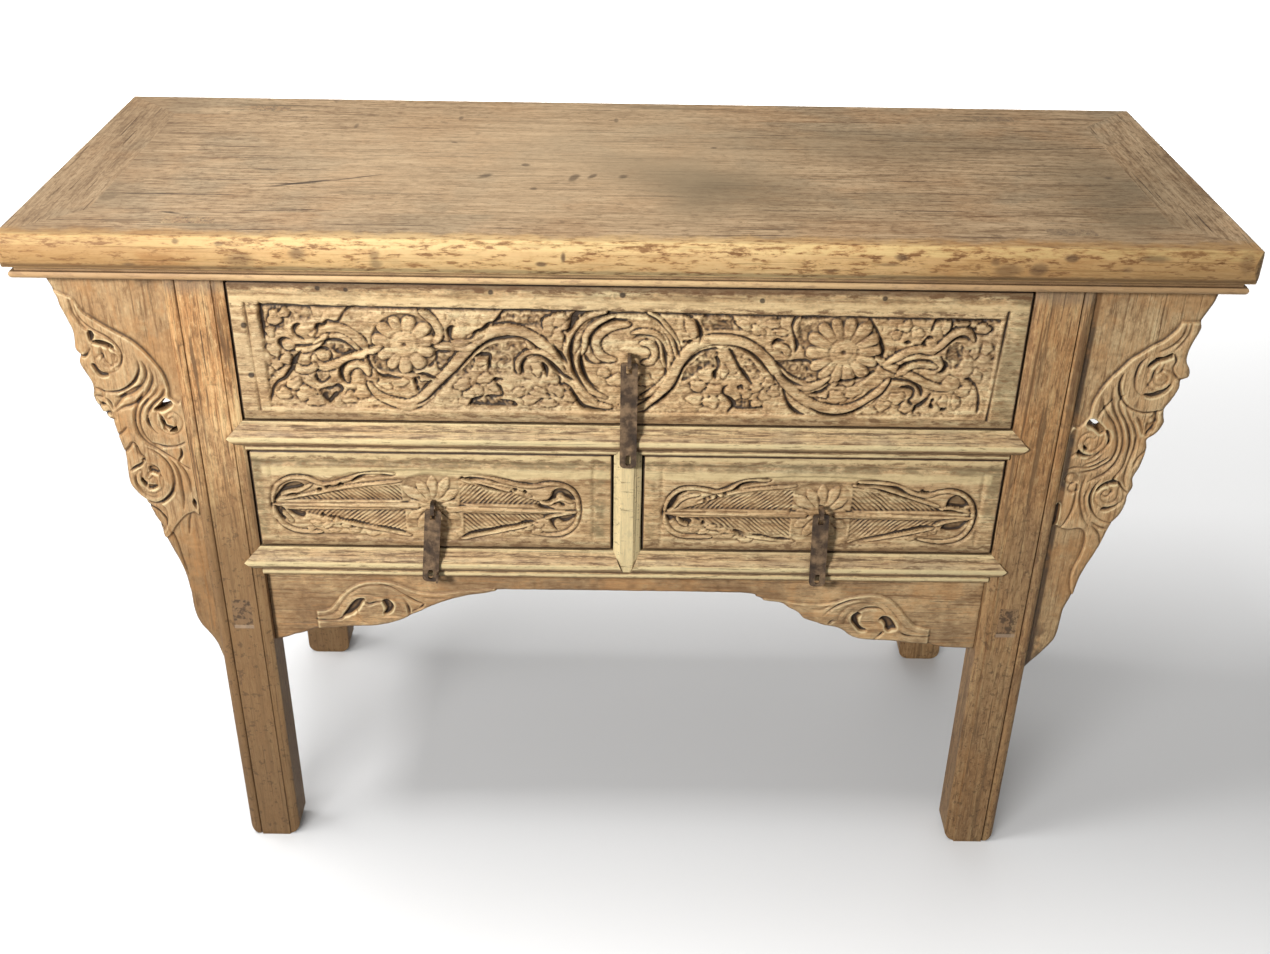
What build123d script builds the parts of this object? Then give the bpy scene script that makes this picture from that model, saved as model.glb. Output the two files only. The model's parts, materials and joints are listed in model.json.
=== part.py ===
"""A Chinese altar table with three drawers: a framed top on four legs, carved wings and drawer fronts.

Millimetres. X runs along the table, the front faces -Y, Z is up from the floor at Z = 0.
Every piece is one solid in its own STEP file; joints are cut from the piece that enters them.
"""
from build123d import *
from math import cos, radians, sin
import os

os.makedirs("parts", exist_ok=True)

# ---------------------------------------------------------------- driving sizes
# Whole table
table_length = 1320.0
table_depth = 498.0
table_height = 865.0

# Framed top
top_thickness = 51.5        # moulded edge, lip included
frame_width = 78.0          # all four mitred frame rails
corner_radius = 18.0        # rounded outer corners, in plan
plan_margin = 1.0           # the corner rounding is drawn this far outside the edge
edge_bulge = 3.5            # how far the moulded edge swells between its arrises
edge_height = 40.5          # rounded part of the edge, above the groove
groove_height = 3.5
groove_setback = 13.0
lip_setback = 8.0
panel_thickness = 14.0
panel_tongue = 8.0          # how far the panel enters the frame grooves
tongue_thickness = 7.0
tongue_depth_below_top = 6.0
batten_width = 36.0
batten_height = 24.0
batten_key = 4.0            # dovetailed part let into the panel
batten_spread = 0.2273      # from the middle batten to the others, as a part of the table's length
batten_tenon = 12.0
mitre_tenon_thickness = 12.0
mitre_tenon_width = 30.0
mitre_tenon_length = 40.0

# Legs
leg_width = 64.0
leg_depth = 46.0
leg_inset = 160.5           # from the end of the top to the outer face of a leg
leg_front_setback = 27.0    # from the front edge of the top to the leg face
leg_back_setback = 27.0
leg_tenon_width = 54.0
leg_tenon_depth = 20.0
foot_radius = 16.0
inner_band = 12.0           # hollow band along the inner edge of a front leg
inner_band_drop = 5.0
outer_bead = 12.0
quirk = 3.0                 # depth of the grooves beside band and bead

# Front rails, muntin and apron
upper_bay = 180.0           # from the underside of the top down to the middle rail
mid_rail_height = 36.5
lower_bay = 133.0           # clear height between the two front rails
low_rail_height = 38.0
rail_depth = 34.0
rail_slope_height = 10.0    # sloping band along the top of each front rail
rail_slope_setback = 4.5
rail_swell = 4.5            # rounded band stands this far beyond the leg face
rail_swell_height = 19.0
rail_bead_gap = 1.6         # groove between the rounded band and the lower bead
shoulder_reach = 19.0       # pointed shoulders lap this far over the legs
shoulder_drop = 19.0        # from the top of the rail down to the point
shoulder_thickness = 12.0
rail_tenon_length = 34.0
short_tenon_length = 18.0   # back top rail, whose tenons stop short of the side rails' tenons
rail_tenon_thickness = 12.0
rail_tenon_height = 24.0
muntin_width = 32.0
muntin_bevel = 9.0
muntin_point = 27.0         # length of the lower point, inside the lower rail
muntin_cap_point = 8.0      # length of the upper point, inside the middle rail
apron_setback = 15.0
apron_thickness = 14.0
apron_tongue = 8.0
apron_arch_height = 30.0    # apron left between the lower rail and the flat of its arch
apron_drop = 111.0          # apron at its ends
apron_relief = 3.0          # carved scroll stands proud of the apron

# Wings
wing_reach = 133.0          # at the top, from the outer face of the leg
wing_drop = 521.5           # from the underside of the top down to the wing's tip
wing_setback = 6.0
wing_thickness = 20.0
wing_relief = 4.0
wing_tongue = 6.0
wing_tongue_thickness = 8.0

# Side and back frames
side_rail_thickness = 30.0
side_top_rail_height = 50.0
side_rail_step = 73.0       # the lower side rails sit this far below the lower front rail's top
side_low_rail_height = 48.0
side_tenon_width = 22.0
side_tenon_height = 40.0
back_rail_thickness = 34.0
back_top_rail_height = 40.0
back_panel_setback = 7.0    # from the back face of the back legs
infill_thickness = 10.0
infill_tongue = 8.0

# Drawers
drawer_gap = 2.0            # beside and under each drawer front
top_drawer_head_gap = 9.5
low_drawer_head_gap = 2.0
running_gap = 0.4           # between a drawer and its runners
front_thickness = 24.0
front_setback = 4.0         # from the leg face to the drawer fronts
front_corner_radius = 5.0
front_edge_chamfer = 1.5
side_thickness = 12.0
side_setin = 3.0            # drawer sides stand this far in from the ends of the front
side_head_gap = 7.0         # drawer sides are this much lower than the front
drawer_back_gap = 4.0       # between the drawer's end and the back rails
back_thickness = 10.0
bottom_thickness = 7.0
bottom_rise = 8.0
housing_depth = 5.0
dovetail_length = 14.0
dovetail_count = 3
dovetail_flare = 3.0

# Runners
runner_width = 30.0
runner_height = 24.0
middle_guide_height = 20.0
guide_gap = 1.5

# Carved drawer fronts
top_field_side = 34.5       # border left at each end of the carved field
top_field_head = 30.0
top_field_foot = 10.0
field_depth = 9.0
end_line = 24.5             # line scored inside each end of the upper front
line_width = 3.0
line_depth = 2.0
low_field_depth = 7.0
roundel_relief = 6.0        # roundel and flowers above the ground of the field
vine_relief = 7.0
leaf_relief = 5.0

# Iron pulls
strap_width = 19.0
strap_thickness = 3.0
top_strap_length = 133.0
low_strap_length = 101.0
strap_end_radius = 6.0
slot_width = 6.4
slot_height = 10.5
slot_corner = 0.9
slot_land = 3.0             # iron left above the upper slot
strap_play = 0.4            # between the loop and the upper end of the slot
low_slot_land = 3.5
loop_radius = 7.0           # centre line of the staple's loop
loop_thickness = 3.2
loop_width = 4.2
prong_spread = 2.3
clinch_length = 9.0
strap_clearance = 1.0       # between a strap and the rounded band of the rail behind it
loop_lift = 1.0             # the loops sit this far above the middle of the bays' lower parts
left_strap_lean = 5.0       # degrees, as they hang
right_strap_lean = -1.5
lug_height = 12.0

# ---------------------------------------------------------------- derived places
half_length = table_length / 2
half_depth = table_depth / 2
top_underside = table_height - top_thickness
panel_half_x = half_length - frame_width
panel_half_y = half_depth - frame_width
leg_outer = half_length - leg_inset
leg_inner = leg_outer - leg_width
leg_middle = (leg_outer + leg_inner) / 2
front_face = -half_depth + leg_front_setback      # face of the front legs
front_leg_back = front_face + leg_depth
back_face = half_depth - leg_back_setback         # back face of the back legs
back_leg_front = back_face - leg_depth
mid_rail_top = top_underside - upper_bay
mid_rail_bottom = mid_rail_top - mid_rail_height
low_rail_top = mid_rail_bottom - lower_bay
side_low_rail_top = low_rail_top - side_rail_step
low_rail_bottom = low_rail_top - low_rail_height
rail_back = front_face + rail_depth
rail_front = front_face - rail_swell
back_rail_front = back_face - back_rail_thickness
drawer_face = front_face + front_setback
drawer_front_back = drawer_face + front_thickness
drawer_end = back_rail_front - drawer_back_gap
muntin_half = muntin_width / 2
apron_face = front_face + apron_setback
apron_back = apron_face + apron_thickness
wing_face = front_face + wing_setback
wing_back = wing_face + wing_thickness
infill_y = back_face - back_panel_setback - infill_thickness
strap_middle_y = rail_front - strap_clearance - strap_thickness / 2
top_loop_height = (top_underside - top_drawer_head_gap + mid_rail_top + drawer_gap) / 2 + loop_lift - 0.25
low_loop_height = (mid_rail_bottom + low_rail_top) / 2 - 3 * loop_lift
big = 4 * table_length


# ---------------------------------------------------------------- helpers
def block(x0, x1, y0, y1, z0, z1):
    """A box from its six limits."""
    return Pos((x0 + x1) / 2, (y0 + y1) / 2, (z0 + z1) / 2) * Box(x1 - x0, y1 - y0, z1 - z0)


def across(outline, y_front, y_back):
    """A solid from an X-Z outline, between two Y planes."""
    return extrude(Plane.XZ.offset(-y_back) * outline, amount=y_back - y_front)


def along(section, x0, x1):
    """A solid from a Y-Z section, between two X planes."""
    return extrude(Plane.YZ.offset(x0) * section, amount=x1 - x0)


def upright(plan, z0, z1):
    """A solid from an X-Y plan, between two heights."""
    return extrude(Plane.XY.offset(z0) * plan, amount=z1 - z0)


def outline(*edges):
    """A face inside a closed run of lines and arcs."""
    return make_face(Curve() + list(edges))


def points(*corners):
    """A face with straight sides."""
    return make_face(Polyline(*corners, close=True))


def mirrored(shape, plane=Plane.YZ):
    return mirror(shape, about=plane)


def turned(shape):
    """The same piece on the other side of the table, front for back."""
    return mirror(shape, about=Plane.XZ)


pieces = {}


def keep(name, shape):
    """File a finished piece under its name, as one solid or a group of them."""
    solids = shape.solids()
    pieces[name] = solids[0] if len(solids) == 1 else Compound(children=list(solids))
    return pieces[name]


# ---------------------------------------------------------------- framed top
def edge_section(width, thickness):
    """Moulded section of a frame rail; local x is the distance from its outer edge, local y the height."""
    top = thickness
    groove_top = thickness - edge_height
    lip_top = groove_top - groove_height
    arris = 2.5
    return outline(
        Line((width, 0), (width, top)),
        Line((width, top), (edge_bulge + arris, top)),
        ThreePointArc((edge_bulge + arris, top), (edge_bulge, top - 1.0), (edge_bulge - 1.0, top - arris - 1.0)),
        ThreePointArc((edge_bulge - 1.0, top - arris - 1.0), (0, top - edge_height * 0.5),
                      (edge_bulge + 1.5, groove_top + 3.0)),
        Line((edge_bulge + 1.5, groove_top + 3.0), (groove_setback, groove_top)),
        Line((groove_setback, groove_top), (groove_setback, lip_top)),
        Line((groove_setback, lip_top), (lip_setback + 1.0, lip_top)),
        ThreePointArc((lip_setback + 1.0, lip_top), (lip_setback, lip_top / 2), (lip_setback + 2.5, 0)),
        Line((lip_setback + 2.5, 0), (width, 0)),
    )


def top_plan():
    """Plan that rounds the corners of the top; its sides stand clear of the moulded edge."""
    return RectangleRounded(table_length + 2 * plan_margin, table_depth + 2 * plan_margin, corner_radius)


def mitre_tenon(side_x, side_y):
    """Tenon of an end rail, inside the long rail."""
    inner_x = panel_half_x + 18.0
    root = panel_half_y + 8.0
    middle = top_underside + top_thickness / 2
    x0, x1 = sorted((side_x * inner_x, side_x * (inner_x + mitre_tenon_width)))
    y0, y1 = sorted((side_y * root, side_y * (root + 12.0 + mitre_tenon_length)))
    return block(x0, x1, y0, y1, middle - mitre_tenon_thickness / 2, middle + mitre_tenon_thickness / 2)


def panel_solid():
    """Floating panel with a tongue all round, before the batten keys are cut."""
    board = block(-panel_half_x, panel_half_x, -panel_half_y, panel_half_y,
                  table_height - panel_thickness, table_height)
    tongue_top = table_height - tongue_depth_below_top
    tongue = block(-panel_half_x - panel_tongue, panel_half_x + panel_tongue,
                   -panel_half_y - panel_tongue, panel_half_y + panel_tongue,
                   tongue_top - tongue_thickness, tongue_top)
    return board + tongue


def batten_solid(x):
    """Cross batten with a dovetailed key let into the panel and a tenon at each end."""
    under = table_height - panel_thickness
    half = batten_width / 2
    section = points((-half, under - batten_height), (half, under - batten_height), (half, under),
                     (half - 5, under), (half - 3, under + batten_key),
                     (-half + 3, under + batten_key), (-half + 5, under), (-half, under))
    bar = extrude(Plane.XZ.offset(-panel_half_y) * (Pos(x, 0) * section), amount=2 * panel_half_y)
    tenon = block(x - half + 6, x + half - 6, -panel_half_y - batten_tenon, panel_half_y + batten_tenon,
                  under - batten_height + 5, under - batten_height + 16)
    return bar + tenon


def leg_top_tenon(side_x, middle_y):
    """Tenon on the head of a leg, right through the long rail of the top."""
    x = side_x * leg_middle
    return block(x - leg_tenon_width / 2, x + leg_tenon_width / 2, middle_y - leg_tenon_depth / 2,
                 middle_y + leg_tenon_depth / 2, top_underside, table_height)


front_leg_middle_y = front_face + leg_depth / 2
back_leg_middle_y = back_face - leg_depth / 2
batten_places = (-batten_spread * table_length, 0.0, batten_spread * table_length)


def build_top():
    panel = panel_solid()
    battens = [batten_solid(x) for x in batten_places]
    section = Pos(0, top_underside) * edge_section(frame_width, top_thickness)
    plan = upright(top_plan(), top_underside, table_height)

    front = along(Pos(-half_depth, 0) * section, -half_length, half_length)
    long_plan = points((-half_length, -half_depth), (half_length, -half_depth),
                       (panel_half_x, -panel_half_y), (-panel_half_x, -panel_half_y))
    front = front & upright(long_plan, top_underside, table_height) & plan
    back = turned(front)

    end_bar = extrude(Plane.XZ.offset(-half_depth) * (Pos(-half_length, 0) * section), amount=table_depth)
    end_plan = points((-half_length, -half_depth), (-panel_half_x, -panel_half_y),
                      (-panel_half_x, panel_half_y), (-half_length, half_depth))
    left = end_bar & upright(end_plan, top_underside, table_height) & plan
    left = left + mitre_tenon(-1, -1) + mitre_tenon(-1, 1) - panel
    right = mirrored(left)

    for long_rail, name in ((front, "top_rail_front"), (back, "top_rail_back")):
        side_y = -1 if name == "top_rail_front" else 1
        middle_y = front_leg_middle_y if name == "top_rail_front" else back_leg_middle_y
        cut = long_rail - panel
        for batten in battens:
            cut = cut - batten
        for side in (-1, 1):
            cut = cut - leg_top_tenon(side, middle_y) - mitre_tenon(side, side_y)
        keep(name, cut)
    keep("top_end_left", left)
    keep("top_end_right", right)
    for batten in battens:
        panel = panel - batten
    keep("top_panel", panel)
    for batten, name in zip(battens, ("left", "middle", "right")):
        keep("top_batten_" + name, batten)


# ---------------------------------------------------------------- rails
def rail_profile(top, height):
    """Y-Z section of a front rail: a sloping band, a rounded band, a groove and a lower bead."""
    swell_top = top - rail_slope_height
    swell_bottom = swell_top - rail_swell_height
    bead_top = swell_bottom - rail_bead_gap
    bottom = top - height
    slope_y = front_face + rail_slope_setback
    edge_y = front_face + 0.5
    return outline(
        Line((rail_back, bottom), (rail_back, top)),
        Line((rail_back, top), (slope_y, top)),
        ThreePointArc((slope_y, top), (front_face + 3.2, top - rail_slope_height * 0.55), (front_face + 1.5, swell_top)),
        Line((front_face + 1.5, swell_top), (edge_y, swell_top)),
        ThreePointArc((edge_y, swell_top), (rail_front, (swell_top + swell_bottom) / 2), (edge_y, swell_bottom)),
        Line((edge_y, swell_bottom), (front_face + quirk + 0.5, (swell_bottom + bead_top) / 2)),
        Line((front_face + quirk + 0.5, (swell_bottom + bead_top) / 2), (front_face + 1.5, bead_top)),
        ThreePointArc((front_face + 1.5, bead_top), (front_face + 0.8, (bead_top + bottom) / 2),
                      (front_face + 2.0, bottom)),
        Line((front_face + 2.0, bottom), (rail_back, bottom)),
    )


def shoulder_outline(top, side):
    """X-Z outline of the pointed shoulder that a front rail laps over a leg."""
    low = top - rail_slope_height - rail_swell_height
    return points((side * (leg_inner - 1), top), (side * leg_inner, top),
                  (side * (leg_inner + shoulder_reach), top - shoulder_drop),
                  (side * (leg_inner + shoulder_reach * 0.5), low), (side * (leg_inner - 1), low))


def shoulder(top, side):
    return across(shoulder_outline(top, side), rail_front - 1, front_face + shoulder_thickness)


def rail_tenon(top, height, side, y_middle, length=rail_tenon_length):
    """Tenon at one end of a long rail, from the inner face of the leg inwards."""
    middle = top - height / 2
    x0, x1 = sorted((side * (leg_inner - 1), side * (leg_inner + length)))
    return block(x0, x1, y_middle - rail_tenon_thickness / 2, y_middle + rail_tenon_thickness / 2,
                 middle - rail_tenon_height / 2, middle + rail_tenon_height / 2)


front_tenon_y = front_face + shoulder_thickness + 4 + rail_tenon_thickness / 2


def front_rail(top, height):
    bar = along(rail_profile(top, height), -leg_outer, leg_outer)
    body = block(-leg_inner, leg_inner, -big, big, -big, big)
    rail = bar & body
    for side in (-1, 1):
        rail = rail + (bar & shoulder(top, side)) + rail_tenon(top, height, side, front_tenon_y)
    return rail


def muntin_solid():
    """Short upright between the lower drawers; its pointed ends are mitred into both rails."""
    front = front_face - 1.5
    back = rail_back
    edge = front_face + rail_slope_setback
    flat = muntin_half - muntin_bevel
    z0, z1 = low_rail_top, mid_rail_bottom
    plan = points((-muntin_half, back), (-muntin_half, edge), (-flat, front), (flat, front),
                  (muntin_half, edge), (muntin_half, back))
    full = upright(plan, z0 - muntin_point, z1 + muntin_cap_point)
    point = flat * 0.65
    shape = points((-muntin_half, z0), (-point, z0 - muntin_point), (point, z0 - muntin_point), (muntin_half, z0),
                   (muntin_half, z1), (flat, z1 + muntin_cap_point), (-flat, z1 + muntin_cap_point),
                   (-muntin_half, z1))
    skin = across(shape, front - 8, front_face + shoulder_thickness)
    body = block(-muntin_half, muntin_half, front - 1, back, z0, z1)
    tenon = block(-muntin_half + 6, muntin_half - 6, front_tenon_y - 5, front_tenon_y + 5, z0 - 20, z1 + 20)
    seat = skin
    return full & (skin + body), seat, tenon


def side_rail(top, height, side):
    """Rail from a front leg to a back leg; its tenons come out flush through both legs."""
    x = side * leg_middle
    middle = top - height / 2
    bar = block(x - side_rail_thickness / 2, x + side_rail_thickness / 2, front_leg_back, back_leg_front,
                top - height, top)
    tenon = block(x - side_tenon_width / 2, x + side_tenon_width / 2, front_face + 0.3, back_face,
                  middle - side_tenon_height / 2, middle + side_tenon_height / 2)
    return bar + tenon


back_rails = {
    "rail_back_upper": (top_underside, back_top_rail_height, short_tenon_length),
    "rail_back_middle": (mid_rail_top, mid_rail_height, rail_tenon_length),
    "rail_back_lower": (low_rail_top, low_rail_height, rail_tenon_length),
}


def back_rail(top, height, tenon_length):
    bar = block(-leg_inner, leg_inner, back_rail_front, back_face, top - height, top)
    for side in (-1, 1):
        bar = bar + rail_tenon(top, height, side, (back_rail_front + back_face) / 2, tenon_length)
    return bar


def side_panel(side):
    """Thin board in the grooves of two legs and two side rails."""
    x = side * leg_middle
    return block(x - infill_thickness / 2, x + infill_thickness / 2,
                 front_leg_back - infill_tongue, back_leg_front + infill_tongue,
                 side_low_rail_top - infill_tongue, top_underside - side_top_rail_height + infill_tongue)


def back_panel(low, high):
    """Thin board in the grooves of the back legs and two back rails."""
    return block(-leg_inner - infill_tongue, leg_inner + infill_tongue, infill_y, infill_y + infill_thickness,
                 low - infill_tongue, high + infill_tongue)


# ---------------------------------------------------------------- legs
def front_leg_plan():
    """Plan of the right front leg: a hollow band inside, a flat face and a bead outside."""
    face = front_face
    band = leg_inner + inner_band
    bead = leg_outer - outer_bead
    return outline(
        Line((leg_inner, front_leg_back), (leg_inner, face + inner_band_drop)),
        ThreePointArc((leg_inner, face + inner_band_drop), (leg_inner + inner_band * 0.5, face + 2.6),
                      (band, face + 2.0)),
        Line((band, face + 2.0), (band + 0.8, face)),
        Line((band + 0.8, face), (bead - 2.2, face)),
        Line((bead - 2.2, face), (bead - 1.0, face + quirk)),
        Line((bead - 1.0, face + quirk), (bead, face + 1.5)),
        ThreePointArc((bead, face + 1.5), (bead + outer_bead * 0.5, face), (leg_outer, face + 3.0)),
        Line((leg_outer, face + 3.0), (leg_outer, front_leg_back)),
        Line((leg_outer, front_leg_back), (leg_inner, front_leg_back)),
    )


def foot_outline():
    """X-Z outline of a leg, rounded where it stands on the floor."""
    r = foot_radius
    return outline(
        Line((leg_inner, r), (leg_inner, top_underside)),
        Line((leg_inner, top_underside), (leg_outer, top_underside)),
        Line((leg_outer, top_underside), (leg_outer, r)),
        RadiusArc((leg_outer, r), (leg_outer - r, 0), r),
        Line((leg_outer - r, 0), (leg_inner + r, 0)),
        RadiusArc((leg_inner + r, 0), (leg_inner, r), r),
    )


def build_frame():
    rails = {
        "rail_front_middle": front_rail(mid_rail_top, mid_rail_height),
        "rail_front_lower": front_rail(low_rail_top, low_rail_height),
    }
    muntin, muntin_seat, muntin_tenon = muntin_solid()
    apron, apron_slot = apron_solid()
    for name, rail in rails.items():
        rails[name] = rail - muntin_seat - muntin_tenon
    rails["rail_front_lower"] = rails["rail_front_lower"] - apron_slot

    side_rails = {}
    side_panels = {}
    for side, word in ((-1, "left"), (1, "right")):
        side_panels["side_panel_" + word] = side_panel(side)
        upper = side_rail(top_underside, side_top_rail_height, side)
        lower = side_rail(side_low_rail_top, side_low_rail_height, side)
        side_rails["rail_side_upper_" + word] = upper - side_panel(side)
        side_rails["rail_side_lower_" + word] = lower - side_panel(side)

    backs = {name: back_rail(*where) for name, where in back_rails.items()}
    back_boards = {
        "back_panel_upper": back_panel(mid_rail_top, top_underside - back_top_rail_height),
        "back_panel_lower": back_panel(low_rail_top, mid_rail_bottom),
    }
    for name, rail in backs.items():
        for board in back_boards.values():
            rail = rail - board
        backs[name] = rail

    # Legs: right pair first, then the same cuts mirrored.
    front_leg = upright(front_leg_plan(), 0, top_underside)
    front_leg = front_leg & across(foot_outline(), -big, big)
    front_leg = front_leg + leg_top_tenon(1, front_leg_middle_y)
    front_leg = front_leg - wing_solid()[0]
    for top, height in ((mid_rail_top, mid_rail_height), (low_rail_top, low_rail_height)):
        front_leg = front_leg - shoulder(top, 1) - rail_tenon(top, height, 1, front_tenon_y)
    back_leg = block(leg_inner, leg_outer, back_leg_front, back_face, 0, top_underside)
    back_leg = fillet(back_leg.edges().filter_by(Axis.Z), 3.0)
    back_leg = back_leg & across(foot_outline(), -big, big)
    back_leg = back_leg + leg_top_tenon(1, back_leg_middle_y)
    for name in back_rails:
        back_leg = back_leg - backs[name]
    for board in back_boards.values():
        back_leg = back_leg - board
    for top, height in ((top_underside, side_top_rail_height), (side_low_rail_top, side_low_rail_height)):
        front_leg = front_leg - side_rail(top, height, 1)
        back_leg = back_leg - side_rail(top, height, 1)
    front_leg = front_leg - side_panel(1)
    back_leg = back_leg - side_panel(1)

    keep("leg_front_right", front_leg)
    keep("leg_front_left", mirrored(front_leg))
    keep("leg_back_right", back_leg)
    keep("leg_back_left", mirrored(back_leg))
    for group in (rails, side_rails, side_panels, backs, back_boards):
        for name, shape in group.items():
            keep(name, shape)
    keep("muntin_front", muntin + muntin_tenon)
    keep("apron_front", apron)


# ---------------------------------------------------------------- apron
def apron_point(across_part, down_part):
    """A place on the right half of the apron, as parts of its half width and of its drop."""
    return leg_inner * across_part, low_rail_bottom - apron_drop * down_part


def apron_half_edge():
    """Lower edge of the right half of the apron, from the middle to the leg."""
    at = apron_point
    return [
        Line(at(0, 0.27), at(0.344, 0.27)),
        ThreePointArc(at(0.344, 0.27), at(0.409, 0.342), at(0.487, 0.450)),
        ThreePointArc(at(0.487, 0.450), at(0.542, 0.577), at(0.611, 0.703)),
        ThreePointArc(at(0.611, 0.703), at(0.689, 0.802), at(0.792, 0.856)),
        Line(at(0.792, 0.856), at(0.873, 0.892)),
        ThreePointArc(at(0.873, 0.892), at(0.941, 0.946), at(1, 1)),
    ]


def apron_solid():
    """Apron with its lower edge shaped in a flat arch, a tongue on top and a carved scroll at each end."""
    at = apron_point
    half = outline(*apron_half_edge(), Line(at(1, 1), at(1, 0)), Line(at(1, 0), at(0, 0)), Line(at(0, 0), at(0, 0.27)))
    board = across(half, apron_face, apron_back)
    tongue = block(0, leg_inner, apron_face + 3, apron_back - 3, low_rail_bottom, low_rail_bottom + apron_tongue)
    scroll = outline(
        Line(at(0.882, 1.1), at(0.882, 0.640)),
        ThreePointArc(at(0.882, 0.640), at(0.808, 0.378), at(0.730, 0.297)),
        ThreePointArc(at(0.730, 0.297), at(0.602, 0.414), at(0.487, 0.450)),
        Line(at(0.487, 0.450), at(0.487, 1.1)),
        Line(at(0.487, 1.1), at(0.882, 1.1)),
    )
    relief = across(scroll & half, apron_face - apron_relief, apron_face)
    right = board + tongue + relief
    slot = tongue + mirrored(tongue)
    return right + mirrored(right), slot


# ---------------------------------------------------------------- wings
def wing_point(out_part, down_part):
    """A place on the right wing, as parts of its reach from the leg and of its drop from the top."""
    return leg_outer + wing_reach * out_part, top_underside - wing_drop * down_part


def wing_outer_edge():
    """Outer edge of the right wing from the underside of the top down to the leg: a run of lobes."""
    lobes = [
        ((1.000, 0.000), (0.917, 0.052), (0.887, 0.088)),
        ((0.887, 0.088), (0.838, 0.127), (0.835, 0.161)),
        ((0.835, 0.161), (0.868, 0.190), (0.816, 0.211)),
        ((0.816, 0.211), (0.801, 0.245), (0.741, 0.276)),
        ((0.741, 0.276), (0.729, 0.318), (0.643, 0.353)),
        ((0.643, 0.353), (0.635, 0.395), (0.583, 0.437)),
        ((0.583, 0.437), (0.602, 0.466), (0.575, 0.489)),
        ((0.575, 0.489), (0.571, 0.529), (0.500, 0.564)),
        ((0.500, 0.564), (0.391, 0.644), (0.289, 0.736)),
        ((0.289, 0.736), (0.252, 0.796), (0.229, 0.857)),
        ((0.229, 0.857), (0.192, 0.913), (0.094, 0.945)),
        ((0.094, 0.945), (0.034, 0.970), (0.000, 1.000)),
    ]
    return [ThreePointArc(*[wing_point(*place) for place in lobe]) for lobe in lobes]


def wing_face_outline():
    at = wing_point
    return outline(*wing_outer_edge(), Line(at(0, 1), at(0, 0)), Line(at(0, 0), at(1, 0)))


def wing_carved_outline():
    """The raised scroll work of the right wing: a band that sweeps down from the outer edge to the leg."""
    at = wing_point
    return outline(
        Line(at(1.0, 0.071), at(0.752, 0.071)),
        ThreePointArc(at(0.752, 0.071), at(0.690, 0.115), at(0.579, 0.127)),
        ThreePointArc(at(0.579, 0.127), at(0.271, 0.194), at(0.135, 0.303)),
        Line(at(0.135, 0.303), at(0.023, 0.330)),
        Line(at(0.023, 0.330), at(0.023, 0.568)),
        ThreePointArc(at(0.023, 0.568), at(0.150, 0.543), at(0.233, 0.556)),
        ThreePointArc(at(0.233, 0.556), at(0.286, 0.598), at(0.353, 0.633)),
        Line(at(0.353, 0.633), at(1.0, 0.633)),
        Line(at(1.0, 0.633), at(1.0, 0.071)),
    )


def wing_piercings():
    """Outlines cut right through the right wing, where the scrolls curl."""
    at = wing_point
    unit = wing_reach / 10
    x, z = at(0.624, 0.209)
    ring = Pos(x, z) * Circle(2.33 * unit) - Pos(x, z - 0.42 * unit) * Circle(2.18 * unit)
    upper_curl = ring & (Pos(*at(0.602, 0.151)) * Rectangle(1.65 * unit, 1.05 * unit))
    leg_curl = points(at(0.128, 0.318), at(0.188, 0.293), at(0.286, 0.314), at(0.241, 0.330))
    leg_curl_low = points(at(0.068, 0.364), at(0.135, 0.372), at(0.075, 0.380))
    small_curl = Pos(*at(0.391, 0.443)) * Rotation(0, 0, 15) * SlotOverall(0.68 * unit, 0.3 * unit)
    return [upper_curl, leg_curl, leg_curl_low, small_curl]


def wing_solid():
    """Right wing and the tongue that enters the leg."""
    face = wing_face_outline()
    tongue = block(leg_outer - wing_tongue, leg_outer + 1, wing_face + 6, wing_face + 6 + wing_tongue_thickness,
                   top_underside - wing_drop * 0.94, top_underside)
    board = across(face, wing_face, wing_back)
    relief = across(face & wing_carved_outline(), wing_face - wing_relief, wing_face)
    wing = board + tongue + relief
    for hole in wing_piercings():
        wing = wing - across(hole, wing_face - wing_relief - 1, wing_back + 1)
    return wing, tongue


def build_wings():
    wing = wing_solid()[0]
    keep("wing_right", wing)
    keep("wing_left", mirrored(wing))


# ---------------------------------------------------------------- runners
def build_runners():
    for word, top in (("upper", mid_rail_top), ("lower", low_rail_top)):
        bar = block(leg_inner - runner_width, leg_inner, rail_back, back_rail_front, top - runner_height, top)
        keep("runner_%s_right" % word, bar)
        keep("runner_%s_left" % word, mirrored(bar))
    half = muntin_half + side_setin + drawer_gap + runner_width / 2
    guide = muntin_half + side_setin + drawer_gap - guide_gap
    middle = block(-half, half, rail_back, back_rail_front, low_rail_top - runner_height, low_rail_top)
    rib = block(-guide, guide, rail_back, back_rail_front, low_rail_top, low_rail_top + middle_guide_height)
    keep("runner_lower_middle", middle + rib)


# ---------------------------------------------------------------- drawers
def dovetail(x0, x1, z, height):
    """One tail on the front end of a drawer side, wider where it enters the front."""
    y0 = drawer_front_back - dovetail_length
    y1 = drawer_front_back
    plan = points((y0, z - height / 2), (y1, z - height / 2 + dovetail_flare),
                  (y1, z + height / 2 - dovetail_flare), (y0, z + height / 2))
    return along(plan, x0, x1)


def rounded_front(x0, x1, z0, z1):
    """Drawer front with rounded corners and softened front edges."""
    shape = Pos((x0 + x1) / 2, (z0 + z1) / 2) * RectangleRounded(x1 - x0, z1 - z0, front_corner_radius)
    board = across(shape, drawer_face, drawer_front_back)
    edges = board.faces().sort_by(Axis.Y)[0].edges()
    return chamfer(edges, front_edge_chamfer)


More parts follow.
